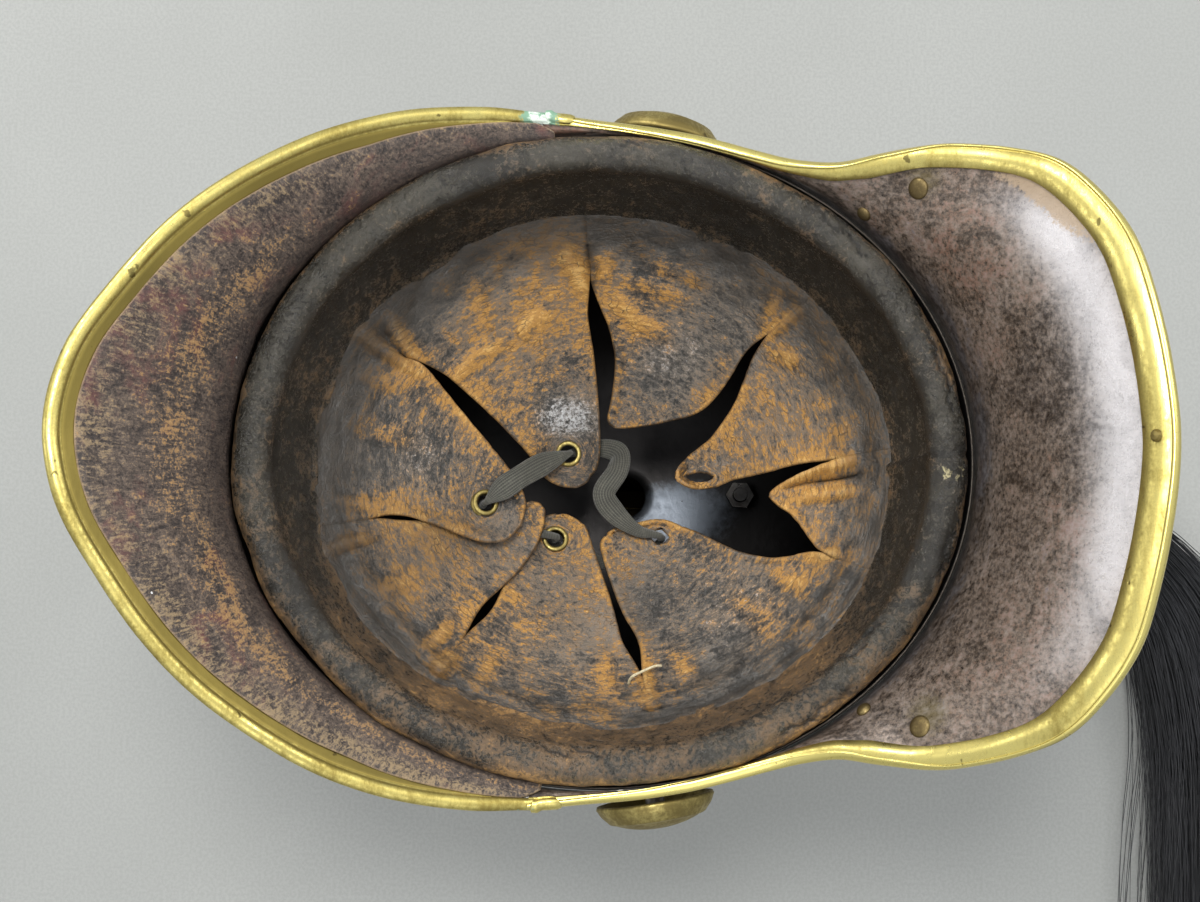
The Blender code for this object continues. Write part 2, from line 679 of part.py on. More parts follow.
def build_comb_studs(skull):
    """Two studs that hold the comb to the skull, each with a nut inside the skull."""
    for name, y in zip(("front", "rear"), STUD_Y):
        place = Matrix.Translation((0, y, 0))
        outside = skull_height(0.0, y)
        base = ridge(abs(y) + STUD_RADIUS, STRIP_THICKNESS + COMB_SHEET + 2 * GAP).z + GAP
        rod(f"comb_stud_{name}", STUD_RADIUS, base, outside + 0.0112, place, "steel", 12)
        cut(skull, as_cutter(rod(f"{name}_stud_hole", STUD_RADIUS + 0.0004, outside - 0.006, outside + 0.006,
                                 place, "steel", 12)))
        build_nut(f"comb_nut_{name}", STUD_RADIUS, place, outside + 0.0052, "steel")


def build_nut(name, bore, place, base, look_name):
    nut = rod(name, 0.0052, base, base + 0.0036, place, look_name, 6)
    drill = rod(f"{name}_drill", bore + GAP, base - 0.002, base + 0.006, place, look_name, 12)
    cut(nut, as_cutter(drill))


# ---------------------------------------------------------------- side bosses

def build_bosses(skull):
    dome = [(BOSS_RADIUS * math.sin(turn), BOSS_HEIGHT * math.cos(turn))
            for turn in (math.radians(step) for step in (0, 18, 36, 52, 68, 82))]
    dome += [(BOSS_RADIUS + 0.0003, 0.0004), (BOSS_RADIUS, -0.0006)]
    inside = [(radius - BOSS_SHEET, height - BOSS_SHEET * 0.7) for radius, height in reversed(dome[1:-2])]
    profile = dome + [(BOSS_RADIUS - BOSS_SHEET, -0.0006)] + inside + [(0.0, BOSS_HEIGHT - BOSS_SHEET)]
    for name, side in (("left", -1), ("right", 1)):
        centre = Vector((side * BOSS_CENTRE.x, BOSS_CENTRE.y, BOSS_CENTRE.z))
        out = Vector((side * math.cos(BOSS_TURN), math.sin(BOSS_TURN), 0.0))
        place = pointing(centre, out)
        turned(f"boss_{name}", profile, place, "brass", steps=22)
        rod(f"boss_post_{name}", POST_RADIUS, -0.0135, BOSS_HEIGHT - BOSS_SHEET - 2 * GAP, place, "steel", 12)
        hole = rod(f"boss_{name}_hole", POST_RADIUS + 0.0004, -0.012, -0.002, place, "steel", 12)
        cut(skull, as_cutter(hole))
        build_nut(f"boss_nut_{name}", POST_RADIUS, place, -0.0128, "steel")


# ---------------------------------------------------------------- tail

def pin_profile(shank, reach, head, crown):
    """A pin with a domed head at the top and a flat riveted one below, both just past reach."""
    return [(0.0, reach + crown), (head, reach + 0.6 * crown), (head, reach), (shank, reach),
            (shank, -reach), (head, -reach), (head, -reach - 0.7 * crown), (0.0, -reach - 0.8 * crown)]


def build_bracket(upright):
    """A U of thick brass on the comb's rear cap, with an ear above and below the swivel."""
    level = SWIVEL.z
    turned_up = Matrix(((0, 0, 1, 0), (1, 0, 0, 0), (0, 1, 0, 0), (0, 0, 0, 1)))  # outline (y, z), depth along X
    ears = [(BRACKET_BACK, -EAR_OUTSIDE), (EAR_END, -EAR_OUTSIDE), (EAR_END, -EAR_INSIDE),
            (BRACKET_WEB, -EAR_INSIDE), (BRACKET_WEB, EAR_INSIDE), (EAR_END, EAR_INSIDE),
            (EAR_END, EAR_OUTSIDE), (BRACKET_BACK, EAR_OUTSIDE)]
    bracket = flat_outline("tail_bracket", [(y, level + z) for y, z in ears],
                           -BRACKET_HALF_WIDTH, BRACKET_HALF_WIDTH, turned_up, "brass")
    cut(bracket, as_cutter(rod("bracket_bore", PIVOT_RADIUS + GAP, -0.015, 0.015, upright, "brass", 16)))
    turned("tail_pivot_pin", pin_profile(PIVOT_RADIUS, EAR_OUTSIDE + GAP, 0.0034, 0.0018),
           upright, "steel", steps=16)


def build_swivel(upright, sideways):
    """A knuckle that turns on the upright pin, with a flat arm that carries the cross pin."""
    radius, arm, end = 0.0058, FORK_INSIDE - GAP - 0.0001, 0.0160
    first = math.asin(arm / radius)
    turns = [first + (2 * math.pi - 2 * first) * step / 14 for step in range(15)]
    outline = [(radius * math.sin(turn), radius * math.cos(turn)) for turn in turns]
    outline += [(-arm, end), (arm, end)]
    tall = EAR_INSIDE - GAP
    swivel = flat_outline("tail_swivel", outline, -tall, tall, upright, "brass")
    cut(swivel, as_cutter(rod("swivel_bore", PIVOT_RADIUS + GAP, -0.012, 0.012, upright, "brass", 16)))
    cut(swivel, as_cutter(rod("swivel_cross_bore", CROSS_PIN_RADIUS + GAP, -0.02, 0.02, sideways, "brass", 16)))
    pin = turned("tail_cross_pin", pin_profile(CROSS_PIN_RADIUS, FORK_OUTSIDE + GAP, 0.0026, 0.0012),
                 sideways, "steel", steps=16)
    return [swivel, pin]


def build_fork(sideways):
    """A flat fork on the cross pin; its bar carries the ferrule."""
    near, far = FORK_BAR
    outline = [(-FORK_OUTSIDE, FORK_START), (-FORK_INSIDE, FORK_START), (-FORK_INSIDE, near), (FORK_INSIDE, near),
               (FORK_INSIDE, FORK_START), (FORK_OUTSIDE, FORK_START), (FORK_OUTSIDE, far), (-FORK_OUTSIDE, far)]
    fork = flat_outline("tail_fork", outline, LIFT.z - 0.0045, LIFT.z + 0.0045, Matrix(), "brass")
    cut(fork, as_cutter(rod("fork_bore", CROSS_PIN_RADIUS + GAP, -0.02, 0.02, sideways, "brass", 16)))
    return fork


def build_tail():
    upright = Matrix.Translation(SWIVEL)
    sideways = pointing(LIFT, (1, 0, 0))
    build_bracket(upright)
    hang_on(pivot_at("tail_swing_axis", SWIVEL), build_swivel(upright, sideways))

    backward = pointing(Vector((0, FORK_BAR[1] + 2 * GAP, LIFT.z)), (0, 1, 0))
    cup = [(0.0, 0.0016), (0.0078, 0.0016), (0.0088, 0.0160), (0.0096, 0.0170), (0.0100, 0.0160),
           (0.0092, 0.0010), (0.0080, 0.0), (0.0, 0.0)]
    ferrule = turned("tail_ferrule", cup, backward, "brass", steps=20)
    wound = [(0.0096, 0.0250), (0.0109, 0.0230), (0.0109, 0.0195), (0.0097, 0.0180),
             (0.0090, 0.0180), (0.0090, 0.0250), (0.0096, 0.0250)]
    binding = turned("tail_binding", wound, backward, "lace_weave", steps=20)
    hang_on(pivot_at("tail_lift_axis", LIFT), [build_fork(sideways), ferrule, binding, build_hair()])


def build_hair():
    """The bound horsehair as one soft bundle: out of the ferrule, down to the table and round to the side."""
    per_span = 3
    centres = smooth_through([centre for centre, _, _ in TAIL_ROUTE], per_span)
    halves = smooth_through([(wide, tall, 0) for _, wide, tall in TAIL_ROUTE], per_span)
    sections = []
    for index, centre in enumerate(centres):
        along = centres[min(index + 1, len(centres) - 1)] - centres[max(index - 1, 0)]
        side = along.cross(Vector((0, 0, 1))).normalized()
        up = side.cross(along).normalized()
        ring = [2 * math.pi * step / 12 for step in range(12)]
        sections.append([centre + halves[index].x * math.cos(turn) * side + halves[index].y * math.sin(turn) * up
                         for turn in ring])
    return loft("horsehair_tail", sections, "horsehair")


# ---------------------------------------------------------------- the whole helmet

empty_scene()
PARTS = new_collection("comb_helmet")
CUTTERS = new_collection("cutters")

skull_shell = build_skull()
_, peak_rows = build_flared_plate("peak_plate", "peak_rim", PEAK_HALF, 1)
build_peak_lining(peak_rows)
guard, guard_rows = build_flared_plate("neck_guard", "neck_guard_rim", GUARD_HALF, 1)
last = len(guard_rows[0]) - 1
for number, (row, column, size) in enumerate(((2, 8, 0.0024), (2, last - 8, 0.0024),
                                              (4, 9, 0.0030), (4, last - 9, 0.0030)), start=1):
    build_rivet(f"neck_rivet_{number}", guard_rows, row, column, guard, size)
build_rear_pin(guard_rows)
build_sweatband()
build_liner_skirt()
for each_tongue in TONGUES:
    build_tongue(each_tongue)
build_lace()
build_comb()
build_comb_studs(skull_shell)
build_bosses(skull_shell)
build_tail()
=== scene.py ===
"""The looks of the comb helmet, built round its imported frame.

Metres, in the part's own frame: the helmet lies crown down with +Z out of the head opening, the peak
points to -Y, the neck guard to +Y, and the wearer's left is -X.
"""

import itertools
import json
import math

import bpy
import numpy as np
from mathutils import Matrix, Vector

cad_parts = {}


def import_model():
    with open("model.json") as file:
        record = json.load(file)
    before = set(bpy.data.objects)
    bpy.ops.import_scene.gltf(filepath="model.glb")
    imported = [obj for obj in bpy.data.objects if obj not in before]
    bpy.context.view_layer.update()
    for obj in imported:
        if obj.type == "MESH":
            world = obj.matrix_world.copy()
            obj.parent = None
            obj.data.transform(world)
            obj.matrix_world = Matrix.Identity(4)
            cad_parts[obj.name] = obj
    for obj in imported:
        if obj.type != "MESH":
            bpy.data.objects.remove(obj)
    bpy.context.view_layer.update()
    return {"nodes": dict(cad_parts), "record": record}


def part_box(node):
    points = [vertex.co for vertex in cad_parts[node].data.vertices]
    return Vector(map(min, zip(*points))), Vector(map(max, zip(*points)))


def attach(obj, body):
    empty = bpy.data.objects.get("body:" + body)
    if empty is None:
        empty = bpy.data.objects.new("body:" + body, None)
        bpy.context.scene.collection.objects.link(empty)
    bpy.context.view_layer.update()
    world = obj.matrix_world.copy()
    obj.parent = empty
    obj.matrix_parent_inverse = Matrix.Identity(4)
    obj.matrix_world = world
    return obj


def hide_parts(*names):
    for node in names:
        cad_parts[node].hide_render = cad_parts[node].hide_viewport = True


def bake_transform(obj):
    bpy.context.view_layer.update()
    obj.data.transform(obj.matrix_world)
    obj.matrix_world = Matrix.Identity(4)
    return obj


MM = 0.001
UP = np.array([0.0, 0.0, 1.0])

# The frame's own sizes, which the fine surfaces follow
SHEET = 1.2 * MM
SKULL_HALF_WIDTH = 0.1012
SKULL_HALF_LENGTH = 0.115
SKULL_RIM = 0.186
SKULL_DEPTH = 0.138
SKULL_POWER = 2.3
CROWN_HOLE = np.array([0.0, 0.0096])
CROWN_HOLE_RADIUS = 8 * MM
LINER_HALF = np.array([0.0845, 0.095])
LINER_LOW = 0.112
LINER_HIGH = 0.15
LEATHER = 1.5 * MM
ROLL_CENTRE = (0.0939, 0.1061, 0.188)  # half width, half length, height
ROLL_RADIUS = 6.1 * MM
COMB_FLAT, COMB_END, COMB_RISE = 0.045, 0.062, 0.11  # half its flat length, its rounded ends, its height
BOSS_CENTRE = (0.1053, 0.019, 0.165)
BOSS_RADIUS, BOSS_HEIGHT = 18.3 * MM, 8.5 * MM

# The outer edge of the brass edging, millimetres, from the side to the middle
PEAK_HALF = (
    (107.2, -22.5, 190.0), (107.0, -38.0, 195.0), (103.5, -60.0, 202.0), (96.0, -81.0, 209.0),
    (85.5, -98.5, 217.0), (73.0, -114.5, 224.0), (59.0, -127.5, 230.0), (42.0, -139.0, 236.0),
    (22.0, -149.8, 241.5), (0.0, -154.2, 243.0),
)
GUARD_HALF = (
    (107.0, -20.0, 190.0), (105.0, -3.0, 189.2), (103.0, 12.0, 189.2), (99.3, 30.5, 190.0),
    (95.0, 45.5, 192.0), (91.5, 58.0, 195.0), (89.4, 71.5, 201.0), (90.8, 84.0, 207.5),
    (91.8, 97.0, 214.0), (90.6, 106.0, 220.0), (87.0, 118.0, 229.0), (81.0, 129.0, 239.0),
    (71.0, 137.5, 246.5), (57.0, 145.2, 253.0), (40.0, 149.7, 257.0), (20.0, 153.2, 259.2),
    (0.0, 154.8, 260.0),
)

# Each liner tongue, in millimetres: its two edges from root to tip, and how far its tip rides up
TONGUES = {
    1: (((-41, -70), (-36, -57), (-25, -42), (-10, -26), (0, -18), (3, -11)),
        ((-75, -8), (-58, -6), (-40, -3), (-20, -1), (-7, -1), (2, -5)), 3.0),
    2: (((-75, -3), (-60, -1), (-50, 3), (-40, 5), (-28, 4), (-19, 2)),
        ((-54, 60), (-46, 50), (-34, 43), (-24, 34), (-20, 20), (-18, 8)), 1.0),
    3: (((-51, 63), (-38, 51), (-26, 46), (-15, 39), (-8, 31), (-3, 26)),
        ((-9, 84), (-7, 74), (-3, 58), (0, 44), (2, 37), (3, 30)), 3.0),
    4: (((-5, 84), (-3, 77), (0, 66), (5, 57)), ((26, 79), (22, 73), (14, 66), (8, 58)), 5.0),
    5: (((30, 78), (27, 69), (28, 61), (25, 47), (17, 30), (15, 14), (16, 7)),
        ((74, 20), (59, 16), (46, 9), (36, 5), (27, 2), (22, 1), (19, 3)), 0.0),
    6: (((74, 14), (59, 9), (42, 4), (25, -2), (17, -5), (14, -9)),
        ((63, -45), (48, -36), (34, -30), (22, -24), (16, -20), (13, -14)), 0.0),
    7: (((59, -50), (47, -41), (33, -28), (22, -21), (13, -19), (9, -21)),
        ((21, -82), (18, -70), (17, -56), (18, -43), (14, -33), (9, -25)), 6.5),
    8: (((16, -83), (14, -71), (17, -57), (22, -42), (23, -35), (21, -29)),
        ((-37, -73), (-34, -60), (-20, -47), (-5, -34), (5, -27), (14, -25)), 10.5),
}
EYELETS = (1, 6, 8)
# Holes without an eyelet: tongue, centre, half width, and the width's share of the length
BARE_HOLE = (5, np.array([19.8, 20.8, 115.9]) * MM, 2.9 * MM, 1.0)
TEAR = (3, np.array([-0.8, 34.2, 0]) * MM, 1.5 * MM, 0.4)

# The tail's centre line, with its half width and half height
TAIL_ROUTE = (
    (0.0000, 0.142, 0.07, 0.007, 0.007), (0.0000, 0.152, 0.07, 0.0075, 0.0075),
    (0.0003, 0.163, 0.069, 0.008, 0.0078), (0.004, 0.181, 0.052, 0.011, 0.0085),
    (0.016, 0.205, 0.028, 0.018, 0.009), (0.043, 0.23, 0.014, 0.023, 0.0092),
    (0.085, 0.242, 0.01, 0.0245, 0.009), (0.13, 0.2445, 0.0092, 0.0245, 0.009),
    (0.185, 0.243, 0.009, 0.022, 0.0088), (0.24, 0.24, 0.0075, 0.016, 0.0073),
    (0.285, 0.236, 0.005, 0.007, 0.0047),
)


# ---------------------------------------------------------------- numbers

def smooth(low, high, value):
    """0 up to low, 1 from high on, and a smooth step between."""
    share = np.clip((value - low) / (high - low), 0.0, 1.0)
    return share * share * (3 - 2 * share)


def bell(value, width):
    """1 where the value is 0, fading out on both sides."""
    return np.exp(-((value / width) ** 2))


def circle(count):
    """Angles once round, without the last."""
    return np.linspace(0, 2 * math.pi, count, endpoint=False)


def unit(vectors):
    return vectors / np.maximum(np.linalg.norm(vectors, axis=-1, keepdims=True), 1e-12)


def lattice_noise(places):
    """Smooth noise from -1 to 1 on a lattice of side 1."""
    base = np.floor(places).astype(np.int64)
    step = places - base
    step = step * step * (3 - 2 * step)
    total = np.zeros(places.shape[:-1])
    for corner in itertools.product((0, 1), repeat=3):
        cell = base + corner
        mixed = cell[..., 0] * 374761393 + cell[..., 1] * 668265263 + cell[..., 2] * 1442695041
        mixed = (mixed ^ (mixed >> 13)) * 1274126177
        drawn = ((mixed ^ (mixed >> 16)) & 0xFFFF) / 32767.5 - 1.0
        total += drawn * np.prod(np.where(corner, step, 1 - step), axis=-1)
    return total


def field(places, size, seed=0, octaves=2):
    """Noise whose largest features are about size metres across."""
    total = 0.0
    for octave in range(octaves):
        total = total + 0.5**octave * lattice_noise(places / size * 2**octave + 13.7 * seed + 5.3 * octave)
    return total


def curve(points, count):
    """count points along the Catmull-Rom curve through the points."""
    points = np.asarray(points, float)
    padded = np.vstack([2 * points[0] - points[1], points, 2 * points[-1] - points[-2]])
    place = np.linspace(0, len(points) - 1, count)
    index = np.minimum(place.astype(int), len(points) - 2)
    t = (place - index)[:, None]
    before, start, end, after = (padded[index + step] for step in range(4))
    return 0.5 * (2 * start + (end - before) * t + (2 * before - 5 * start + 4 * end - after) * t**2
                  + (3 * start - before - 3 * end + after) * t**3)


def nearest(points, line):
    """For each point, the nearest point of a polyline."""
    start, run = line[:-1], np.diff(line, axis=0)
    offset = points[:, None, :] - start[None]
    share = np.clip((offset * run).sum(-1) / np.maximum((run * run).sum(-1), 1e-12), 0, 1)
    found = start[None] + share[..., None] * run[None]
    best = np.linalg.norm(points[:, None, :] - found, axis=-1).argmin(axis=1)
    return found[np.arange(len(points)), best]


# ---------------------------------------------------------------- meshes

def grid_faces(rows, columns, round_columns=False, round_rows=False):
    row, column = np.meshgrid(np.arange(rows if round_rows else rows - 1),
                              np.arange(columns if round_columns else columns - 1), indexing="ij")
    row, column = row.ravel(), column.ravel()
    below, right = (row + 1) % rows, (column + 1) % columns
    return np.stack([row * columns + column, row * columns + right,
                     below * columns + right, below * columns + column], axis=1)


def vertex_normals(points, faces):
    across = points[faces[:, 2]] - points[faces[:, 0]]
    along = points[faces[:, 3]] - points[faces[:, 1]]
    normals = np.zeros_like(points)
    for corner in range(4):
        np.add.at(normals, faces[:, corner], np.cross(across, along))
    return unit(normals)


def facing(points, faces, toward):
    """The faces and the points' normals, turned if need be to look towards the directions on the whole."""
    normals = vertex_normals(points, faces)
    if (normals * toward).sum() < 0:
        return faces[:, ::-1], -normals
    return faces, normals


def add_object(name, data):
    made = bpy.data.objects.new(name, data)
    bpy.context.scene.collection.objects.link(made)
    return made


def add_piece(name, points, faces, material, values=None):
    """A smooth mesh object, with a float attribute for each of the values."""
    used, index = np.unique(faces, return_inverse=True)
    faces = index.reshape(faces.shape)
    data = bpy.data.meshes.new(name)
    data.from_pydata(points[used].tolist(), [], faces.tolist())
    data.materials.append(material)
    data.shade_smooth()
    for key, value in (values or {}).items():
        numbers = np.asarray(value, np.float32)[used]
        kind = "FLOAT_VECTOR" if numbers.ndim == 2 else "FLOAT"
        attribute = data.attributes.new(key, kind, "POINT")
        attribute.data.foreach_set("vector" if numbers.ndim == 2 else "value", numbers.ravel())
    made = add_object(name, data)
    return made


def skin(points, faces, above, below, values=None):
    """A closed skin from an open surface: its front at above, its back at below, and a rounded edge.

    The value called edge is 1 on the cut edge and 0 elsewhere.
    """
    count = len(points)
    normals = vertex_normals(points, faces)
    edges = np.concatenate([faces[:, [corner, (corner + 1) % 4]] for corner in range(4)])
    _, first, times = np.unique(np.sort(edges, axis=1), axis=0, return_index=True, return_counts=True)
    border = edges[first[times == 1]]
    outward = np.zeros_like(points)
    side = np.cross(points[border[:, 1]] - points[border[:, 0]], normals[border[:, 0]])
    for end in range(2):
        np.add.at(outward, border[:, end], side)
    rim, place = np.unique(border, return_inverse=True)
    place = 2 * count + place.reshape(border.shape)
    middle = points[rim] + 0.5 * (above + below) * normals[rim]
    middle = middle + 0.4 * (above - below) * unit(outward[rim])
    made = np.vstack([points + above * normals, points + below * normals, middle])
    start, end = border[:, 0], border[:, 1]
    walls = [np.stack([end, start, place[:, 0], place[:, 1]], axis=1),
             np.stack([place[:, 1], place[:, 0], start + count, end + count], axis=1)]
    made_faces = np.vstack([faces, faces[:, ::-1] + count, *walls])
    made_values = {key: np.concatenate([value, value, value[rim]]) for key, value in (values or {}).items()}
    made_values["edge"] = np.concatenate([np.zeros(2 * count), np.ones(len(rim))])
    return made, made_faces, made_values


def tube(centres, sides, ups, half_widths, half_heights, around, closed=False):
    """Rings of an elliptic tube; returns its points and faces."""
    turns = circle(around)
    rings = (centres[:, None] + np.cos(turns)[None, :, None] * (half_widths[:, None, None] * sides[:, None])
             + np.sin(turns)[None, :, None] * (half_heights[:, None, None] * ups[:, None]))
    return rings.reshape(-1, 3), grid_faces(len(centres), around, round_columns=True, round_rows=closed)


def turned_piece(name, profile, place, axis, steps, material):
    """A profile of (radius, height), turned about the axis through place."""
    profile = np.asarray(profile, float)
    axis = unit(np.asarray(axis, float))
    side = unit(np.cross(axis, [0.31, 0.95, 0.02]))
    other = np.cross(axis, side)
    turns = circle(steps)
    spokes = np.cos(turns)[:, None] * side + np.sin(turns)[:, None] * other
    points = place + profile[:, 0, None, None] * spokes[None] + profile[:, 1, None, None] * axis
    faces = grid_faces(len(profile), steps, round_columns=True)[:, ::-1]
    return add_piece(name, points.reshape(-1, 3), faces, material)


def middle_of(node):
    low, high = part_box(node)
    return np.array((low + high) / 2)


# ---------------------------------------------------------------- material nodes

class Look:
    """One material, whose nodes are linked as they are made."""

    def __init__(self, name):
        self.material = bpy.data.materials.new(name)
        self.material.use_nodes = True
        self.tree = self.material.node_tree
        self.shader = self.tree.nodes["Principled BSDF"]
        self.places = self.node("ShaderNodeTexCoord").outputs["Object"]

    def node(self, kind, inputs=None, **settings):
        made = self.tree.nodes.new(kind)
        for key, value in settings.items():
            setattr(made, key, value)
        for key, value in (inputs or {}).items():
            self.feed(made.inputs[key], value)
        return made

    def feed(self, socket, value):
        if isinstance(value, bpy.types.NodeSocket):
            self.tree.links.new(value, socket)
        elif isinstance(value, tuple) and len(value) == 3 and socket.type == "RGBA":
            socket.default_value = (*value, 1.0)
        else:
            socket.default_value = value

    def stretched(self, factors, at=None):
        inputs = {"Vector": at or self.places, "Scale": factors}
        return self.node("ShaderNodeMapping", inputs).outputs["Vector"]

    def noise(self, per_metre, detail=5.0, rough=0.55, warp=0.0, at=None):
        inputs = {"Vector": at or self.places, "Scale": per_metre, "Detail": detail,
                  "Roughness": rough, "Distortion": warp}
        return self.node("ShaderNodeTexNoise", inputs).outputs["Fac"]

    def grain(self, per_metre, detail=7.0, rough=0.7, warp=0.0, at=None):
        """Noise spread out to run from about -1 to 1."""
        spread = {0: self.noise(per_metre, detail, rough, warp, at), 1: 5.0, 2: -2.5}
        return self.node("ShaderNodeMath", spread, operation="MULTIPLY_ADD").outputs[0]

    def grains(self, *kinds):
        """A grain for each of the kinds, which are its features per metre, detail, roughness and warp."""
        return [self.grain(*kind) for kind in kinds]

    def total(self, *terms):
        """The weighted sum of pairs of a value and its weight."""
        result = 0.0
        for value, weight in terms:
            sockets = {0: value, 1: weight, 2: result}
            result = self.node("ShaderNodeMath", sockets, operation="MULTIPLY_ADD").outputs[0]
        return result

    def shaken(self, at, per_metre, reach):
        """The places, moved about by a noise so that what is laid on them wanders."""
        inputs = {"Vector": at, "Scale": per_metre, "Detail": 4.0}
        moved = self.node("ShaderNodeTexNoise", inputs).outputs["Color"]
        sockets = {0: moved, 1: (reach,) * 3, 2: at}
        return self.node("ShaderNodeVectorMath", sockets, operation="MULTIPLY_ADD").outputs[0]

    def plates(self, per_metre, at):
        """Distance from the edges of irregular cells."""
        inputs = {"Vector": at, "Scale": per_metre}
        return self.node("ShaderNodeTexVoronoi", inputs, feature="DISTANCE_TO_EDGE").outputs["Distance"]

    def value(self, name):
        return self.node("ShaderNodeAttribute", attribute_name=name).outputs["Fac"]

    def values(self, *names):
        return [self.value(name) for name in names]

    def vector(self, name):
        return self.node("ShaderNodeAttribute", attribute_name=name).outputs["Vector"]

    def math(self, operation, first, second=0.0):
        return self.node("ShaderNodeMath", {0: first, 1: second}, operation=operation).outputs[0]

    def step(self, value, low, high, start=0.0, end=1.0):
        inputs = {"Value": value, "From Min": low, "From Max": high, "To Min": start, "To Max": end}
        return self.node("ShaderNodeMapRange", inputs, interpolation_type="SMOOTHSTEP").outputs[0]

    def mix(self, share, first, second):
        made = self.node("ShaderNodeMix", data_type="RGBA")
        for index, value in ((0, share), (6, first), (7, second)):  # the sockets for colours
            self.feed(made.inputs[index], value)
        return made.outputs[2]

    def laid(self, under, value, low, high, over, most=1.0):
        """The colour under, with the colour over laid on it as the value goes from low to high."""
        return self.mix(self.step(value, low, high, 0.0, most), under, over)

    def bump(self, height, distance, strength=1.0, normal=None):
        inputs = {"Height": height, "Distance": distance, "Strength": strength}
        if normal is not None:
            inputs["Normal"] = normal
        return self.node("ShaderNodeBump", inputs).outputs["Normal"]

    def finish(self, **inputs):
        """Feeds the shader's sockets, named with _ for a space, and returns the material."""
        for key, value in inputs.items():
            self.feed(self.shader.inputs[key.replace("_", " ")], value)
        return self.material


# ---------------------------------------------------------------- materials

def brass_look(name, bright=(0.78, 0.66, 0.22), dull=(0.3, 0.235, 0.065), tarnish=0.5):
    """Old brass: brown-green tarnish in clouds, bright where it is worn, with fine scratches, and near-black
    painted shade in hollows such as the edging's lip and the inside of the comb.
    """
    look = Look(name)
    clouds, specks = look.grains((36, 6, 0.6, 0.6), (800, 4))
    crossed = look.grain(240, 8, 0.75, at=look.stretched((0.2, 1.0, 1.0)))
    rub_and_painted_light, green = look.values("rub_and_painted_light", "verdigris")
    dark = look.total((clouds, 0.35), (specks, 0.18), (crossed, 0.22), (rub_and_painted_light, -1.0), (tarnish, 1.0))
    dark = look.step(dark, 0.05, 1.0)
    colour = look.mix(dark, bright, dull)
    spots = look.step(look.grain(170, 3, 0.5), 0.98, 1.15, 0.0, 0.7)
    colour = look.mix(spots, colour, (0.07, 0.05, 0.02))
    # Painted shade: near-black where the value runs lowest, on the peak edging's lip and inside the hollow
    # comb.
    colour = look.laid(colour, rub_and_painted_light, -0.7, -1.4, (0.03, 0.024, 0.014))
    crust = look.step(look.total((green, 1.0), (look.grain(380), 0.35)), 0.42, 0.62)
    colour = look.mix(crust, colour, (0.17, 0.3, 0.21))
    chalk = look.step(look.total((green, 1.0), (look.grain(260), 0.45)), 0.95, 1.15)
    colour = look.mix(chalk, colour, (0.6, 0.68, 0.6))
    rough = look.total((dark, 0.26), (specks, 0.04), (crossed, 0.05), (crust, 0.4), (1.0, 0.3))
    bump = look.bump(look.noise(70, 3), 0.5 * MM, 0.3)
    bump = look.bump(look.total((crossed, 1.0), (crust, 3.0), (spots, -3.0)), 0.03 * MM, 0.6, bump)
    metal = look.step(crust, 0.0, 1.0, 1.0, 0.0)
    return look.finish(Base_Color=colour, Metallic=metal, Roughness=rough, Normal=bump)


def steel_look(name, bright, dull, pits=0.5):
    """Worn steel: brown oxide in patches, dark pits, and a fine grain."""
    look = Look(name)
    patches = look.noise(30, 9, 0.66, 0.8)
    mottle = look.noise(420, 5, 0.72)
    amount = look.math("ADD", patches, look.math("MULTIPLY", look.math("SUBTRACT", mottle, 0.5), 0.35))
    oxide = look.step(amount, 0.42, 0.66)
    colour = look.mix(oxide, bright, dull)
    pitted = look.step(look.noise(650, 3, 0.6), 0.74 - 0.1 * pits, 0.8 - 0.1 * pits)
    colour = look.mix(look.math("MULTIPLY", pitted, 0.8), colour, (0.02, 0.016, 0.014))
    rough = look.step(amount, 0.3, 0.8, 0.26, 0.58)
    bump = look.bump(look.math("SUBTRACT", mottle, pitted), 0.05 * MM, 0.6)
    metal = look.step(oxide, 0, 1, 1.0, 0.75)
    return look.finish(Base_Color=colour, Metallic=metal, Roughness=rough, Normal=bump)


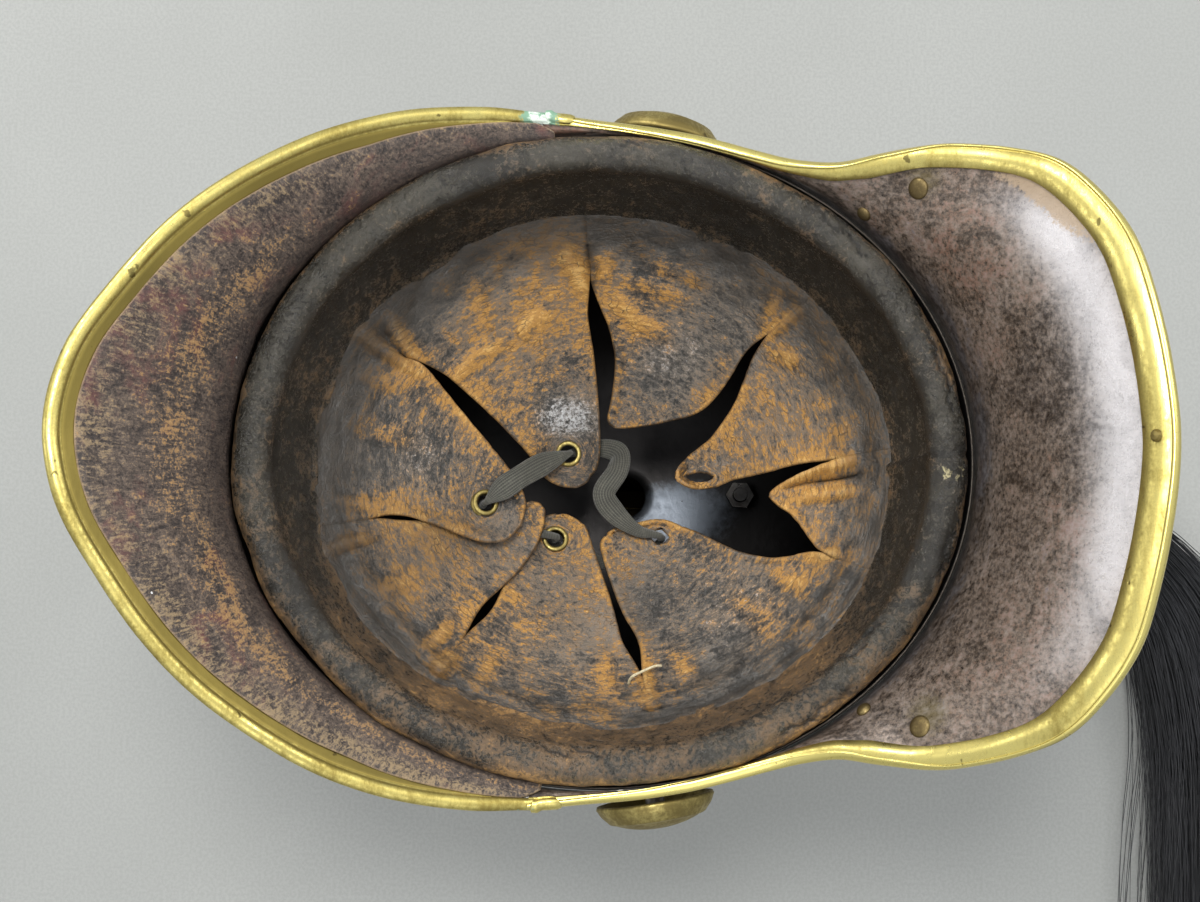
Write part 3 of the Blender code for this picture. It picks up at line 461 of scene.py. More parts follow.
def guard_look():
    """The neck guard: purple-brown patina, rust and dark clouds; towards the rear a light band of
    worn-through steel and painted sheen, and painted shade by its foot.
    """
    look = Look("guard_patina")
    broad, clouds, mottle = look.grains((16, 5, 0.6, 0.8), (60, 8, 0.7, 1.0), (850, 6, 0.74))
    brushed = look.grain(620, 6, 0.7, at=look.stretched((1.0, 0.12, 1.0)))
    streaks = look.grain(110, 6, 0.7, at=look.stretched((0.3, 1.0, 1.0)))
    rub_and_painted_light, foot = look.values("rub_and_painted_light", "foot")
    tone = look.total((clouds, 0.5), (mottle, 0.55), (brushed, 0.35), (broad, 0.25))
    colour = look.mix(look.step(tone, -0.6, 0.7), (0.034, 0.024, 0.018), (0.212, 0.148, 0.1))
    rust = look.total((broad, 0.5), (mottle, 0.45), (clouds, 0.4), (rub_and_painted_light, -0.5))
    colour = look.laid(colour, rust, 0.0, 0.7, (0.19, 0.08, 0.05), 0.85)
    halo = look.total((look.value("stain"), 1.0), (mottle, 0.25), (clouds, 0.25))
    colour = look.laid(colour, halo, 0.35, 0.95, (0.12, 0.09, 0.036), 0.8)
    # Dark blotches, and painted shade by the guard's foot next to the roll.
    dark = look.total((clouds, 0.6), (streaks, 0.5), (mottle, 0.55), (rub_and_painted_light, -0.9), (foot, 0.9))
    dark = look.step(dark, 0.4, 1.00, 0.0, 0.85)
    colour = look.mix(dark, colour, (0.022, 0.019, 0.022))
    # Painted sheen: a light band towards the rear, standing for the light's reflection as well as
    # worn-through steel.
    bare_and_sheen = look.step(look.total((rub_and_painted_light, 1.0), (clouds, 0.16), (mottle, 0.08), (brushed, 0.16)), -0.22, 1.1)
    colour = look.mix(bare_and_sheen, colour, (0.51, 0.49, 0.5))
    outer = look.mix(look.step(tone, -0.7, 0.9), (0.4, 0.39, 0.375), (0.24, 0.215, 0.19))
    colour = look.mix(look.value("outside"), colour, outer)
    tan = look.total((look.value("tan"), 1.0), (mottle, 0.35), (clouds, 0.25))
    colour = look.laid(colour, tan, 0.8, 1.15, (0.36, 0.265, 0.175), 0.8)
    rough = look.total((mottle, 0.07), (brushed, 0.05), (bare_and_sheen, -0.06), (dark, 0.12), (1.0, 0.34))
    bump = look.bump(clouds, 0.2 * MM, 0.2)
    bump = look.bump(look.total((mottle, 0.5), (brushed, 0.5), (dark, -1.0)), 0.03 * MM, 0.6, bump)
    return look.finish(Base_Color=colour, Metallic=0.45, Roughness=rough, Normal=bump)


def skull_look():
    """The skull: worn steel outside; inside, painted near-black shade under the liner and a bluish-grey patch
    towards the rear, part wear and part painted sheen; its cut edges are painted dark as shade.
    """
    look = Look("skull_steel")
    clouds, mottle = look.grains((40, 8, 0.66, 0.8), (430, 6, 0.74))
    brushed = look.grain(300, 7, 0.75, at=look.stretched((1.0, 1.0, 0.12)))
    worn = look.step(look.total((clouds, 0.35), (mottle, 0.35), (brushed, 0.3)), -0.7, 0.9)
    outer = look.mix(worn, (0.43, 0.42, 0.405), (0.26, 0.235, 0.21))
    rust = look.step(look.total((clouds, 0.5), (mottle, 0.5), (look.grain(90, 5), 0.4)), 0.75, 1.0, 0.0, 0.7)
    outer = look.mix(rust, outer, (0.13, 0.075, 0.045))
    # Painted sheen, with wear: a bluish-grey patch towards the rear of the crown hole.
    wiped_and_sheen = look.step(look.total((look.value("rub_and_painted_light"), 1.0), (clouds, 0.2), (mottle, 0.12)), 0.3, 0.9)
    # Painted shade: the inside is near-black under the liner.
    inner = look.mix(wiped_and_sheen, (0.028, 0.026, 0.026), (0.125, 0.14, 0.165))
    colour = look.mix(look.value("inside"), outer, inner)
    # Painted shade: the cut edges near-black, for the dark gap at the rim and the crown hole.
    colour = look.mix(look.value("edge"), colour, (0.03, 0.025, 0.02))
    pits = look.step(look.grain(600, 3), 1.0, 1.2, 0.0, 0.8)
    colour = look.mix(pits, colour, (0.02, 0.016, 0.014))
    rough = look.total((worn, 0.18), (mottle, 0.04), (1.0, 0.33))
    bump = look.bump(look.total((mottle, 1.0), (pits, -2.0)), 0.03 * MM, 0.6)
    metal = look.step(mottle, -3, 3, 0.85, 0.95)
    return look.finish(Base_Color=colour, Metallic=metal, Roughness=rough, Normal=bump)


def liner_look():
    """Dry brown leather, crazed, scuffed to ochre in fine streaks, and pale grey where it was touched, part
    polish and part painted sheen.
    """
    look = Look("liner_leather")
    flow = look.stretched((0.3, 1.0, 0.3), look.vector("flow"))
    wear, edge, shine, shade = look.values("wear", "edge", "shine", "shade")
    broad, patches, flecks = look.grains((22, 3, 0.5, 0.6), (120, 7, 0.72, 0.5), (950, 6, 0.72, 0.6))
    fibres = look.grain(620, 7, 0.74, 0.4, at=flow)
    tone = look.total((broad, 0.35), (patches, 0.35), (flecks, 0.3), (fibres, 0.5))
    colour = look.mix(look.step(tone, -0.55, 0.6), (0.017, 0.015, 0.013), (0.275, 0.228, 0.184))
    brown = look.total((wear, 0.8), (patches, 0.35), (flecks, 0.35), (fibres, 0.4), (broad, 0.2),
                       (shine, -0.6))
    colour = look.laid(colour, brown, -0.1, 0.5, (0.2, 0.122, 0.058), 0.85)
    scuff = look.total((wear, 0.8), (broad, 0.1), (patches, 0.34), (flecks, 0.36), (fibres, 0.62),
                       (shine, -0.6))
    orange = look.step(scuff, 0.4, 0.56)
    colour = look.mix(orange, colour, (0.43, 0.215, 0.045))
    colour = look.laid(colour, scuff, 0.78, 1.15, (0.68, 0.4, 0.12), 0.85)
    plates = look.plates(720, look.shaken(flow, 160, 0.004))
    broken = look.step(look.total((patches, 0.7), (flecks, 0.5)), -0.4, 0.7, 0.0, 0.8)
    crazed = look.math("MULTIPLY", look.step(plates, 0.02, 0.1, 1.0, 0.0), broken)
    colour = look.mix(crazed, colour, (0.02, 0.015, 0.011))
    polish_and_sheen = look.total((shine, 1.0), (flecks, 0.5), (fibres, 0.25), (patches, 0.2))
    polish_and_sheen = look.step(polish_and_sheen, 0.4, 1.15)
    # Painted sheen: pale grey laid on where the leather shows polish.
    colour = look.mix(polish_and_sheen, colour, (0.52, 0.52, 0.53))
    colour = look.mix(look.math("MULTIPLY", edge, 0.45), colour, (0.36, 0.215, 0.1))
    colour = look.mix(shade, colour, (0.024, 0.02, 0.016))
    rough = look.total((orange, 0.24), (flecks, 0.07), (polish_and_sheen, -0.1), (1.0, 0.4))
    bump = look.bump(look.total((fibres, 0.8), (patches, 1.0)), 0.13 * MM, 0.8)
    bump = look.bump(look.total((flecks, 1.0), (crazed, -1.6), (orange, -0.6)), 0.11 * MM, 0.9, bump)
    return look.finish(Base_Color=colour, Roughness=rough, Normal=bump, Specular_IOR_Level=0.65)


def band_look():
    """Near-black sweatband leather: grey along the top of the roll, part polish and part painted highlight,
    and rusty brown where it is worn through.
    """
    look = Look("band_leather")
    broad, flecks, patches = look.grains((38, 5, 0.6, 0.6), (820, 6, 0.72, 0.8), (170, 7, 0.74, 0.9))
    rub_and_painted_light, wear, crack, pale = look.values("rub_and_painted_light", "wear", "crack", "pale")
    # Painted highlight, with polish: grey along the top of the roll.
    grey = look.step(look.total((rub_and_painted_light, 0.9), (broad, 0.25), (flecks, 0.5), (patches, 0.4)), 0.15, 1.2)
    colour = look.mix(grey, (0.012, 0.01, 0.007), (0.056, 0.05, 0.038))
    brown = look.total((wear, 0.9), (broad, 0.25), (patches, 0.45), (flecks, 0.5))
    colour = look.laid(colour, brown, 0.25, 0.8, (0.145, 0.088, 0.044), 0.9)
    colour = look.laid(colour, brown, 0.85, 1.25, (0.4, 0.225, 0.08), 0.85)
    colour = look.mix(crack, colour, (0.006, 0.005, 0.004))
    chip = look.total((pale, 1.0), (patches, 0.5), (flecks, 0.3))
    colour = look.laid(colour, chip, 1.0, 1.3, (0.46, 0.4, 0.22))
    rough = look.total((flecks, 0.1), (patches, 0.06), (wear, 0.16), (1.0, 0.22))
    bump = look.bump(patches, 0.3 * MM, 0.8)
    bump = look.bump(flecks, 0.13 * MM, 0.9, bump)
    return look.finish(Base_Color=colour, Roughness=rough, Normal=bump, Specular_IOR_Level=0.6)


def lining_look():
    """The peak's lining: dark red leather gone brown, flecked with orange, tan and fibrous by the edging."""
    look = Look("peak_leather")
    flow = look.stretched((1.0, 0.3, 1.0), look.vector("flow"))
    wear, edge, scuffed = look.values("wear", "edge", "scuffed")
    broad, patches, flecks = look.grains((28, 5, 0.6, 0.8), (110, 7, 0.72, 0.8), (1000, 6, 0.72, 0.6))
    fibres = look.grain(850, 6, 0.72, 0.4, at=flow)
    tone = look.total((patches, 0.45), (flecks, 0.5), (fibres, 0.45))
    colour = look.mix(look.step(tone, -0.6, 0.7), (0.022, 0.016, 0.015), (0.175, 0.128, 0.098))
    red = look.step(look.total((broad, 0.7), (patches, 0.4)), 0.05, 0.75, 0.0, 0.75)
    colour = look.mix(red, colour, (0.125, 0.04, 0.036))
    tan = look.total((wear, 0.6), (fibres, 0.6), (flecks, 0.4), (patches, 0.25))
    colour = look.laid(colour, tan, 0.3, 0.9, (0.265, 0.19, 0.105), 0.9)
    orange = look.total((scuffed, 0.5), (broad, 0.18), (patches, 0.34), (flecks, 0.46), (fibres, 0.36))
    colour = look.laid(colour, orange, 0.46, 0.72, (0.33, 0.19, 0.075), 0.85)
    colour = look.laid(colour, orange, 0.95, 1.3, (0.52, 0.34, 0.16), 0.8)
    colour = look.laid(colour, look.grain(210, 2), 1.3, 1.38, (0.6, 0.6, 0.6))
    # Near-black where the value falls below zero: painted shade by the roll, and darker towards -X.
    colour = look.laid(colour, wear, 0.0, -0.65, (0.024, 0.016, 0.015), 0.55)
    colour = look.mix(look.math("MULTIPLY", edge, 0.6), colour, (0.45, 0.33, 0.22))
    rough = look.total((orange, 0.1), (flecks, 0.06), (1.0, 0.52))
    bump = look.bump(look.total((fibres, 1.0), (patches, 0.8)), 0.13 * MM, 0.7)
    bump = look.bump(flecks, 0.1 * MM, 0.8, bump)
    return look.finish(Base_Color=colour, Roughness=rough, Normal=bump, Specular_IOR_Level=0.5)


def lace_look():
    """A flat woven lace, dusty olive-grey: fine cords along it, crossed by small slanting stitches."""
    look = Look("lace_weave")
    parts = look.node("ShaderNodeSeparateXYZ", {"Vector": look.vector("weave")}).outputs
    cords = look.math("SINE", look.math("MULTIPLY", parts["Y"], 24.0))
    slant = look.math("MULTIPLY", cords, 1.2)
    stitches = look.math("SINE", look.math("ADD", look.math("MULTIPLY", parts["X"], 8000.0), slant))
    height = look.total((cords, 0.7), (stitches, 0.35))
    dust = look.grain(420, 6)
    # Painted shade: darker in the grooves of the weave, with dust.
    colour = look.mix(look.step(look.total((height, 1.0), (dust, 0.4)), -1.0, 1.2), (0.026, 0.025, 0.02),
                      (0.105, 0.102, 0.082))
    colour = look.laid(colour, dust, 0.2, 1.2, (0.165, 0.155, 0.125), 0.5)
    rough = look.total((dust, 0.06), (1.0, 0.72))
    bump = look.bump(height, 0.12 * MM, 0.8)
    return look.finish(Base_Color=colour, Roughness=rough, Normal=bump, Sheen_Weight=0.25)


def hair_look():
    """Black horsehair, a little lighter in streaks along it."""
    look = Look("horsehair")
    tone = look.noise(60, 3, at=look.stretched((0.15, 1.0, 1.0)))
    colour = look.mix(look.step(tone, 0.35, 0.7), (0.006, 0.006, 0.007), (0.022, 0.022, 0.026))
    rough = look.step(look.noise(300, 2), 0.3, 0.7, 0.28, 0.43)
    return look.finish(Base_Color=colour, Roughness=rough, Specular_IOR_Level=0.7)


def thread_look(name, light, dark):
    look = Look(name)
    twist = look.noise(1500, 3, 0.6)
    colour = look.mix(look.step(twist, 0.35, 0.65), dark, light)
    rough = look.step(twist, 0.3, 0.7, 0.6, 0.85)
    return look.finish(Base_Color=colour, Roughness=rough, Normal=look.bump(twist, 0.1 * MM, 0.7))


def floor_look():
    look = Look("table")
    cloud = look.noise(6, 4, 0.5)
    tooth = look.noise(800, 3, 0.6)
    colour = look.mix(look.step(cloud, 0.3, 0.7), (0.305, 0.31, 0.3), (0.335, 0.34, 0.33))
    colour = look.laid(colour, tooth, 0.35, 0.65, (0.25, 0.255, 0.245), 0.35)
    rough = look.step(tooth, 0.3, 0.7, 0.75, 0.9)
    return look.finish(Base_Color=colour, Roughness=rough, Normal=look.bump(tooth, 0.15 * MM, 0.4))


# ---------------------------------------------------------------- skull, peak and neck guard

def ellipse(half_width, half_length, height, turns):
    return np.stack([half_width * np.cos(turns), half_length * np.sin(turns), height + 0 * turns], axis=-1)


def skull_height(x, y, grown=0.0):
    ring = np.hypot(x / (SKULL_HALF_WIDTH + grown), y / (SKULL_HALF_LENGTH + grown))
    left = np.maximum(0.0, 1.0 - ring**SKULL_POWER)
    return SKULL_RIM - (SKULL_DEPTH + grown) * left ** (1 / SKULL_POWER)


def build_skull(look):
    """The skull from its crown hole out to its rim, as one pressed bowl with shallow dents."""
    turns = circle(144)
    rim = np.stack([SKULL_HALF_WIDTH * np.cos(turns), SKULL_HALF_LENGTH * np.sin(turns)], axis=1)
    hole = CROWN_HOLE + CROWN_HOLE_RADIUS * np.stack([np.cos(turns), np.sin(turns)], axis=1)
    shares = np.sin(np.linspace(0, math.pi / 2, 72)) ** (2 / SKULL_POWER)
    plan = hole[None] + shares[:, None, None] * (rim - hole)[None]
    height = skull_height(plan[..., 0], plan[..., 1])
    points = np.dstack([plan, height]).reshape(-1, 3)
    faces = grid_faces(len(shares), len(turns), round_columns=True)
    faces, normals = facing(points, faces, UP)
    inward = np.where(normals[:, 2:] > 0, normals, -normals)
    dents = 0.25 * MM * field(points, 30 * MM, seed=3) * smooth(0.0, 20 * MM, SKULL_RIM - points[:, 2])
    points = points + dents[:, None] * inward
    made, made_faces, values = skin(points, faces, SHEET, 0.0)
    back = np.arange(len(points), 2 * len(points))
    values["inside"] = np.ones(len(made))
    values["inside"][back] = 0.0
    # Painted sheen, with wear: the patch towards the rear of the crown hole.
    away = (made[:, :2] - np.array([0.006, 0.03])) / np.array([0.016, 0.026])
    values["rub_and_painted_light"] = 0.9 * smooth(1.3, 0.3, np.hypot(*away.T))
    piece = add_piece("skull_bowl", made, made_faces, look, values)
    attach(piece, "shell")
    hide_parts("skull")


def outline(half, count):
    """The brass edging's outer edge from side to side, in metres."""
    half = np.asarray(half, float)
    whole = np.vstack([half, half[-2::-1] * [-1, 1, 1]]) * MM
    return curve(whole, count)


def flare_rows(edge_line):
    """A flared plate's grid from its flange to its edge, its edge, its last directions and its lips."""
    width, length, height = SKULL_HALF_WIDTH + SHEET, SKULL_HALF_LENGTH + SHEET, SKULL_RIM + 0.8 * MM
    angle = np.arctan2(edge_line[:, 1] / length, edge_line[:, 0] / width)
    foot = ellipse(width, length, height, angle)
    outward = unit(np.stack([np.cos(angle) / width, np.sin(angle) / length, 0 * angle], axis=1))
    span = edge_line - foot
    last = unit(unit(span) + 0.35 * outward)
    lip = np.minimum(9.2 * MM, 0.34 * np.linalg.norm(span, axis=1))
    edge = edge_line - SHEET * last
    knee = edge - (lip + 1.0 * MM)[:, None] * last
    pull = np.linalg.norm(knee - foot, axis=1)[:, None]
    grid = [foot - 8 * MM * UP, foot - 4 * MM * UP]
    for t in np.linspace(0, 1, 22):
        grid.append((2 * t**3 - 3 * t**2 + 1) * foot + (t**3 - 2 * t**2 + t) * pull * UP
                    + (3 * t**2 - 2 * t**3) * knee + (t**3 - t**2) * pull * last)
    for t in (0.25, 0.5, 0.75, 1.0):
        grid.append(knee + t * (edge - knee))
    return np.array(grid), edge, last, lip


def facing_head(points, faces):
    """The faces, turned so that their normals look towards the head opening's axis."""
    inward = np.stack([-points[:, 0], -points[:, 1], np.full(len(points), 0.03)], axis=1)
    return facing(points, faces, inward)[0]


def build_plate(name, grid, look, node, values):
    """A sheet steel plate from its grid, with its outside marked for the look."""
    points = grid.reshape(-1, 3)
    faces = facing_head(points, grid_faces(*grid.shape[:2]))
    values = {**values, "outside": np.zeros(len(points))}
    made, made_faces, made_values = skin(points, faces, SHEET / 2, -SHEET / 2, values)
    made_values["outside"][len(points):] = 1.0
    piece = add_piece(name, made, made_faces, look, made_values)
    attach(piece, "shell")
    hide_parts(node)


BEAD = slice(6, 21)  # the bead's points in a ring of the edging


def edging_rings(edge, last, lip, bead_half, grown=0.0):
    """Rings of a brass channel round a plate's edge: a flat lip on each side and a raised, rounded bead."""
    along = unit(np.gradient(edge, axis=0))
    normal = unit(np.cross(along, last))
    slot, wall, rounded = 0.95 * MM, 1.55 * MM + grown, 0.25 * MM
    bead, middle = wall + 0.22 * bead_half, 1.2 * MM + grown - bead_half
    nose = [(bead_half * math.sin(turn) + middle, bead * math.cos(turn))
            for turn in np.radians([-52, -30, -10, 10, 30, 50, 70, 90, 110, 130, 150, 170, 190, 210, 232])]
    shape = [(None, slot, 0.0), (None, wall - rounded, 0.0), (None, wall, rounded), (None, wall, 2 * rounded)]
    flat = middle - bead_half
    shape += [(flat - 0.9 * MM, wall, 0.0), (flat - 0.2 * MM, wall, 0.0)]
    shape += [(out, up, 0.0) for out, up in nose]
    shape += [(flat, -wall, 0.0), (None, -wall, rounded), (None, -wall + rounded, 0.0), (None, -slot, 0.0)]
    shape += [(0.3 * MM, -slot, 0.0), (0.3 * MM, slot, 0.0)]
    rings = []
    for out, up, back in shape:
        reach = -lip + back if out is None else np.maximum(np.full(len(lip), out), -lip + 0.6 * MM)
        rings.append(edge + reach[:, None] * last + up * normal)
    return np.array(rings).transpose(1, 0, 2), normal


def add_channel(name, grid, normal, look, rub_and_painted_light, verdigris):
    """The edging's mesh from its rings, dented a little, with its ends left open round the plate."""
    places = grid.reshape(-1, 3)
    dents = (0.2 * field(places, 17 * MM, seed=5) + 0.08 * field(places, 5 * MM, seed=6)) * MM
    middle = np.repeat(grid.mean(axis=1), grid.shape[1], axis=0)
    places = places + dents[:, None] * np.repeat(normal, grid.shape[1], axis=0)
    faces, _ = facing(places, grid_faces(*grid.shape[:2], round_columns=True), places - middle)
    piece = add_piece(name, places, faces, look, {"rub_and_painted_light": rub_and_painted_light, "verdigris": verdigris})
    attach(piece, "shell")
    return piece


def build_edging(name, edge, last, lip, node, look, bright, bead_half):
    """A plate's brass edging, brighter on its bead than on its lips."""
    grid, normal = edging_rings(edge, last, lip, bead_half)
    # The bead is worn brighter than the lips; the peak's lip is set low, so that it takes the painted shade.
    rub_and_painted_light = np.full(grid.shape[:2], -0.55 if bead_half > 2 * MM else -0.05)
    rub_and_painted_light[:, BEAD] = 0.35
    rub_and_painted_light = rub_and_painted_light + bright + 0.2 * field(grid, 45 * MM, seed=8)
    piece = add_channel(name, grid, normal, look, rub_and_painted_light.ravel(), green_near(grid.reshape(-1, 3)))
    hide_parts(node)


def green_near(places):
    """Verdigris where the two edgings meet: a crust on the wearer's left and a trace on the right."""
    left = np.linalg.norm(places - np.array([-0.105, -0.0205, 0.19]), axis=1)
    right = np.linalg.norm(places - np.array([0.106, -0.0205, 0.19]), axis=1)
    return 1.25 * bell(left, 6.5 * MM) + 0.5 * bell(right, 3.5 * MM)


def build_lap(name, rims, side, look):
    """The peak edging's end, folded over the neck guard's edging and cut aslant."""
    (peak_edge, peak_last, peak_lip), (guard_edge, guard_last, guard_lip) = rims
    here, there = ([3, 2, 1], [2, 4]) if side > 0 else ([-4, -3, -2], [-3, -5])
    steps = 14
    line = curve(np.vstack([peak_edge[here], guard_edge[there]]), steps)
    outer = unit(curve(np.vstack([peak_last[here], guard_last[there]]), steps))
    width = curve(np.concatenate([peak_lip[here], guard_lip[there]])[:, None], steps)[:, 0]
    grid, normal = edging_rings(line, outer, width, 2.0 * MM, grown=0.75 * MM)
    reach = ((grid - line[:, None]) * outer[:, None]).sum(-1)
    slant = 0.8 * (reach + width[:, None] / 2) * np.linspace(-0.2, 1, steps)[:, None]
    grid = grid + slant[..., None] * unit(np.gradient(line, axis=0))[:, None]
    middle = grid.mean(axis=1, keepdims=True)
    grid[[0, -1]] = (middle + 0.84 * (grid - middle))[[0, -1]]
    flat = grid.reshape(-1, 3)
    add_channel(name, grid, normal, look, 0.1 + 0 * flat[:, 0], green_near(flat))


def narrowed(grid, ends):
    """The grid with its outer rows drawn in over the last columns at both ends, to round its corners."""
    rows, columns = grid.shape[:2]
    from_end = np.minimum(np.arange(columns), columns - 1 - np.arange(columns))
    reach = np.sqrt(np.clip((from_end + 0.6) / ends, 0, 1))
    place = np.linspace(0, rows - 1, rows)[:, None] * (0.25 + 0.75 * reach)
    index = np.minimum(place.astype(int), rows - 2)
    share = (place - index)[..., None]
    column = np.arange(columns)[None]
    return (1 - share) * grid[index, column] + share * grid[index + 1, column]


def build_peak(steel, brass, leather):
    """The peak's plate, edging and leather lining; returns the edging's line for the laps."""
    reaching = ((107.0, -16.5, 189.9),) + PEAK_HALF
    grid, edge, last, lip = flare_rows(outline(reaching, 156))
    build_plate("peak_sheet", grid, steel, "peak_plate", {"rub_and_painted_light": np.zeros(grid.shape[0] * grid.shape[1])})
    build_edging("peak_edging", edge, last, lip, "peak_rim", brass, -0.35, 2.6 * MM)
    lining = narrowed(grid[2:-3, 1:-1], 7)
    rows, columns = lining.shape[:2]
    points = lining.reshape(-1, 3)
    faces = facing_head(points, grid_faces(rows, columns))
    normals = vertex_normals(points, faces)
    row = np.repeat(np.linspace(0, 1, rows), columns)
    away = 0.75 * MM + 1.1 * MM + 0.25 * MM * field(points, 14 * MM, seed=11, octaves=3)
    away = away + 0.5 * MM * smooth(0.75, 0.2, row) * (1 + field(points, 30 * MM, seed=12))
    points = points + away[:, None] * normals
    span = np.cumsum(np.linalg.norm(np.diff(points.reshape(rows, columns, 3)[rows // 2], axis=0), axis=1))
    flow = np.stack([np.tile(np.concatenate([[0], span]), rows), 0.045 * row, 0 * row], axis=1)
    wear = smooth(0.55, 0.97, row) * (0.7 + 0.5 * field(points, 18 * MM, seed=13))
    scuffed = bell(row - 0.5, 0.22) * smooth(-0.085, -0.05, points[:, 0])
    scuffed = scuffed + 0.5 * smooth(0.22, 0.05, row) * smooth(0.1, 0.6, field(points, 20 * MM, seed=14))
    # Lower by the roll, for the painted shade there, and lower towards -X.
    wear = wear - 0.7 * smooth(0.45, 0.1, row) - 0.35 * smooth(-0.055, -0.085, points[:, 0])
    made, made_faces, values = skin(points, faces, 0.5 * MM, -0.5 * MM,
                                    {"flow": flow, "wear": wear, "scuffed": scuffed})
    piece = add_piece("peak_leather_lining", made, made_faces, leather, values)
    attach(piece, "shell")
    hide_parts("peak_lining")
    return edge, last, lip


def build_guard(patina, brass, rivet):
    """The neck guard's plate, edging and rivets; returns the edging's line for the laps."""
    grid, edge, last, lip = flare_rows(outline(GUARD_HALF, 260))
    points = grid.reshape(-1, 3)
    reach = np.repeat(np.linspace(0, 1, grid.shape[0]), grid.shape[1])
    bent = 0.35 * MM * field(points, 34 * MM, seed=21) * smooth(0.1, 0.4, reach) * smooth(1.0, 0.85, reach)
    faces = facing_head(points, grid_faces(*grid.shape[:2]))
    normals = vertex_normals(points, faces)
    grid = (points + bent[:, None] * normals).reshape(grid.shape)
    x, y = points[:, 0], points[:, 1]
    # Painted sheen, with wear: a light band along the rear of the guard.
    band = bell(reach - 0.8 - 0.6 * np.minimum(x, 0), 0.11)
    rub_and_painted_light = 0.85 * band * smooth(0.1, 0.128, y) * smooth(0.085, 0.02, x) * smooth(-0.085, -0.06, x)
    tan = 1.7 * smooth(0.72, 0.86, reach) * bell(x + 0.074, 0.024) * smooth(0.1, 0.125, y)
    stain = 0 * x
    for number in (3, 4):
        place = middle_of(f"neck_rivet_{number}") + np.array([-3, 3, 0]) * MM
        stain = stain + bell(np.linalg.norm(points - place, axis=1), 8 * MM)
    # foot is painted shade where the guard leaves the skull by the roll.
    values = {"rub_and_painted_light": rub_and_painted_light, "tan": tan, "stain": stain, "foot": smooth(0.34, 0.1, reach)}
    build_plate("neck_guard_sheet", grid, patina, "neck_guard", values)
    build_edging("neck_guard_edging", edge, last, lip, "neck_guard_rim", brass, 0.25, 0.9 * MM)
    for number in range(1, 5):
        node = f"neck_rivet_{number}"
        size, rise = (3.3, 0.26) if number > 2 else (2.4, 0.52)
        middle = middle_of(node)
        near = np.linalg.norm(points - middle, axis=1).argmin()
        seat = middle + (points[near] - middle).dot(normals[near]) * normals[near] + 0.6 * MM * normals[near]
        build_rivet(f"guard_rivet_{number}", seat, normals[near], size, rise, rivet, node)
    return edge, last, lip


def build_rivet(name, place, inward, size, rise, look, node):
    """A hand-closed rivet: a dome, low or hammered nearly flat, and its flattened tail behind the plate."""
    dome = [(0.02, rise), (0.45, 0.96 * rise), (0.78, 0.7 * rise), (0.97, 0.28 * rise)]
    rest = [(1.0, 0.0), (0.9, -0.1), (0.5, -0.5), (0.7, -0.6), (0.6, -0.8), (0.02, -0.9)]
    piece = turned_piece(name, np.array(dome + rest) * size * MM, place, inward, 28, look)
    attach(piece, "shell")
    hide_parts(node)


# ---------------------------------------------------------------- sweatband

# Cracks along the roll: start and end in degrees round the head, side of the roll in degrees (0 out, 90 up),
# depth in millimetres
CRACKS = (
    (28, 47, 60, 0.8), (33, 41, 15, 0.7), (66, 79, 55, 0.6), (96, 116, 62, 0.9), (104, 112, 35, 0.6),
    (128, 146, 75, 0.5), (170, 178, 50, 0.4), (-12, 4, 130, 0.5), (-32, -20, 115, 0.5), (46, 58, 140, 0.9),
)


def build_roll(look):
    """The sweatband's top edge, rolled over a cord: lumpy, creased across, split along its back."""
    turns = circle(560)
    centres = ellipse(*ROLL_CENTRE, turns)
    out = unit(np.stack([np.cos(turns) / 0.0935, np.sin(turns) / 0.1055, 0 * turns], axis=1))
    sway = field(centres, 40 * MM, seed=31)
    heave = field(centres, 55 * MM, seed=32)
    centres = centres + 0.7 * MM * sway[:, None] * out + 0.5 * MM * heave[:, None] * UP
    radius = ROLL_RADIUS + 0.45 * MM * field(centres, 16 * MM, seed=33)
    around = 40
    points, faces = tube(centres, out, np.tile(UP, (len(turns), 1)), radius, radius, around, closed=True)
    faces, normals = facing(points, faces, points - np.repeat(centres, around, axis=0))
    place = np.repeat(np.degrees(turns), around)
    side = np.tile(np.degrees(circle(around)), len(turns))
    crack = np.zeros(len(points))
    depth = np.zeros(len(points))
    for start, end, where, deep in CRACKS:
        middle, half = (start + end) / 2, (end - start) / 2
        off = (place - middle + 180) % 360 - 180
        wander = where + 9 * np.sin(off * 0.9) + 5 * np.sin(off * 2.3)
        near = bell((side - wander + 180) % 360 - 180, 8.0) * smooth(half, 0.6 * half, np.abs(off))
        crack, depth = np.maximum(crack, near), np.maximum(depth, deep * near)
    pull = 0.22 * field(points * [1, 1, 0.6], 6 * MM, seed=34, octaves=3) - depth
    seam = bell(place - 91.0, 0.55)
    points = points + (pull - 0.7 * seam)[:, None] * MM * normals
    top = np.sin(np.radians(side))
    # Painted highlight: lighter towards the top of the roll, where it is also worn.
    rub_and_painted_light = smooth(0.0, 0.9, top) * (0.75 + 0.35 * field(points, 25 * MM, seed=35))
    lower = smooth(0.015, 0.08, points[:, 0])
    wear = 0.42 * lower + 0.3 * smooth(-0.085, -0.1, points[:, 1]) * smooth(-0.03, 0.03, points[:, 0])
    wear = wear + 0.35 * depth + 0.28 * field(points, 13 * MM, seed=36)
    wear = wear + 0.62 * smooth(70, 25, (side + 90) % 360 - 90) * smooth(-40, 0, (side + 90) % 360 - 90)
    pale = smooth(3.0, 0.5, np.abs(place - 87.5)) * smooth(0.35, 0.8, top)
    values = {"rub_and_painted_light": rub_and_painted_light, "wear": wear, "crack": smooth(0.45, 0.8, crack) + 0.8 * seam, "pale": pale}
    piece = add_piece("band_roll", points, faces, look, values)
    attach(piece, "shell")
    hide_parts("sweatband_roll")


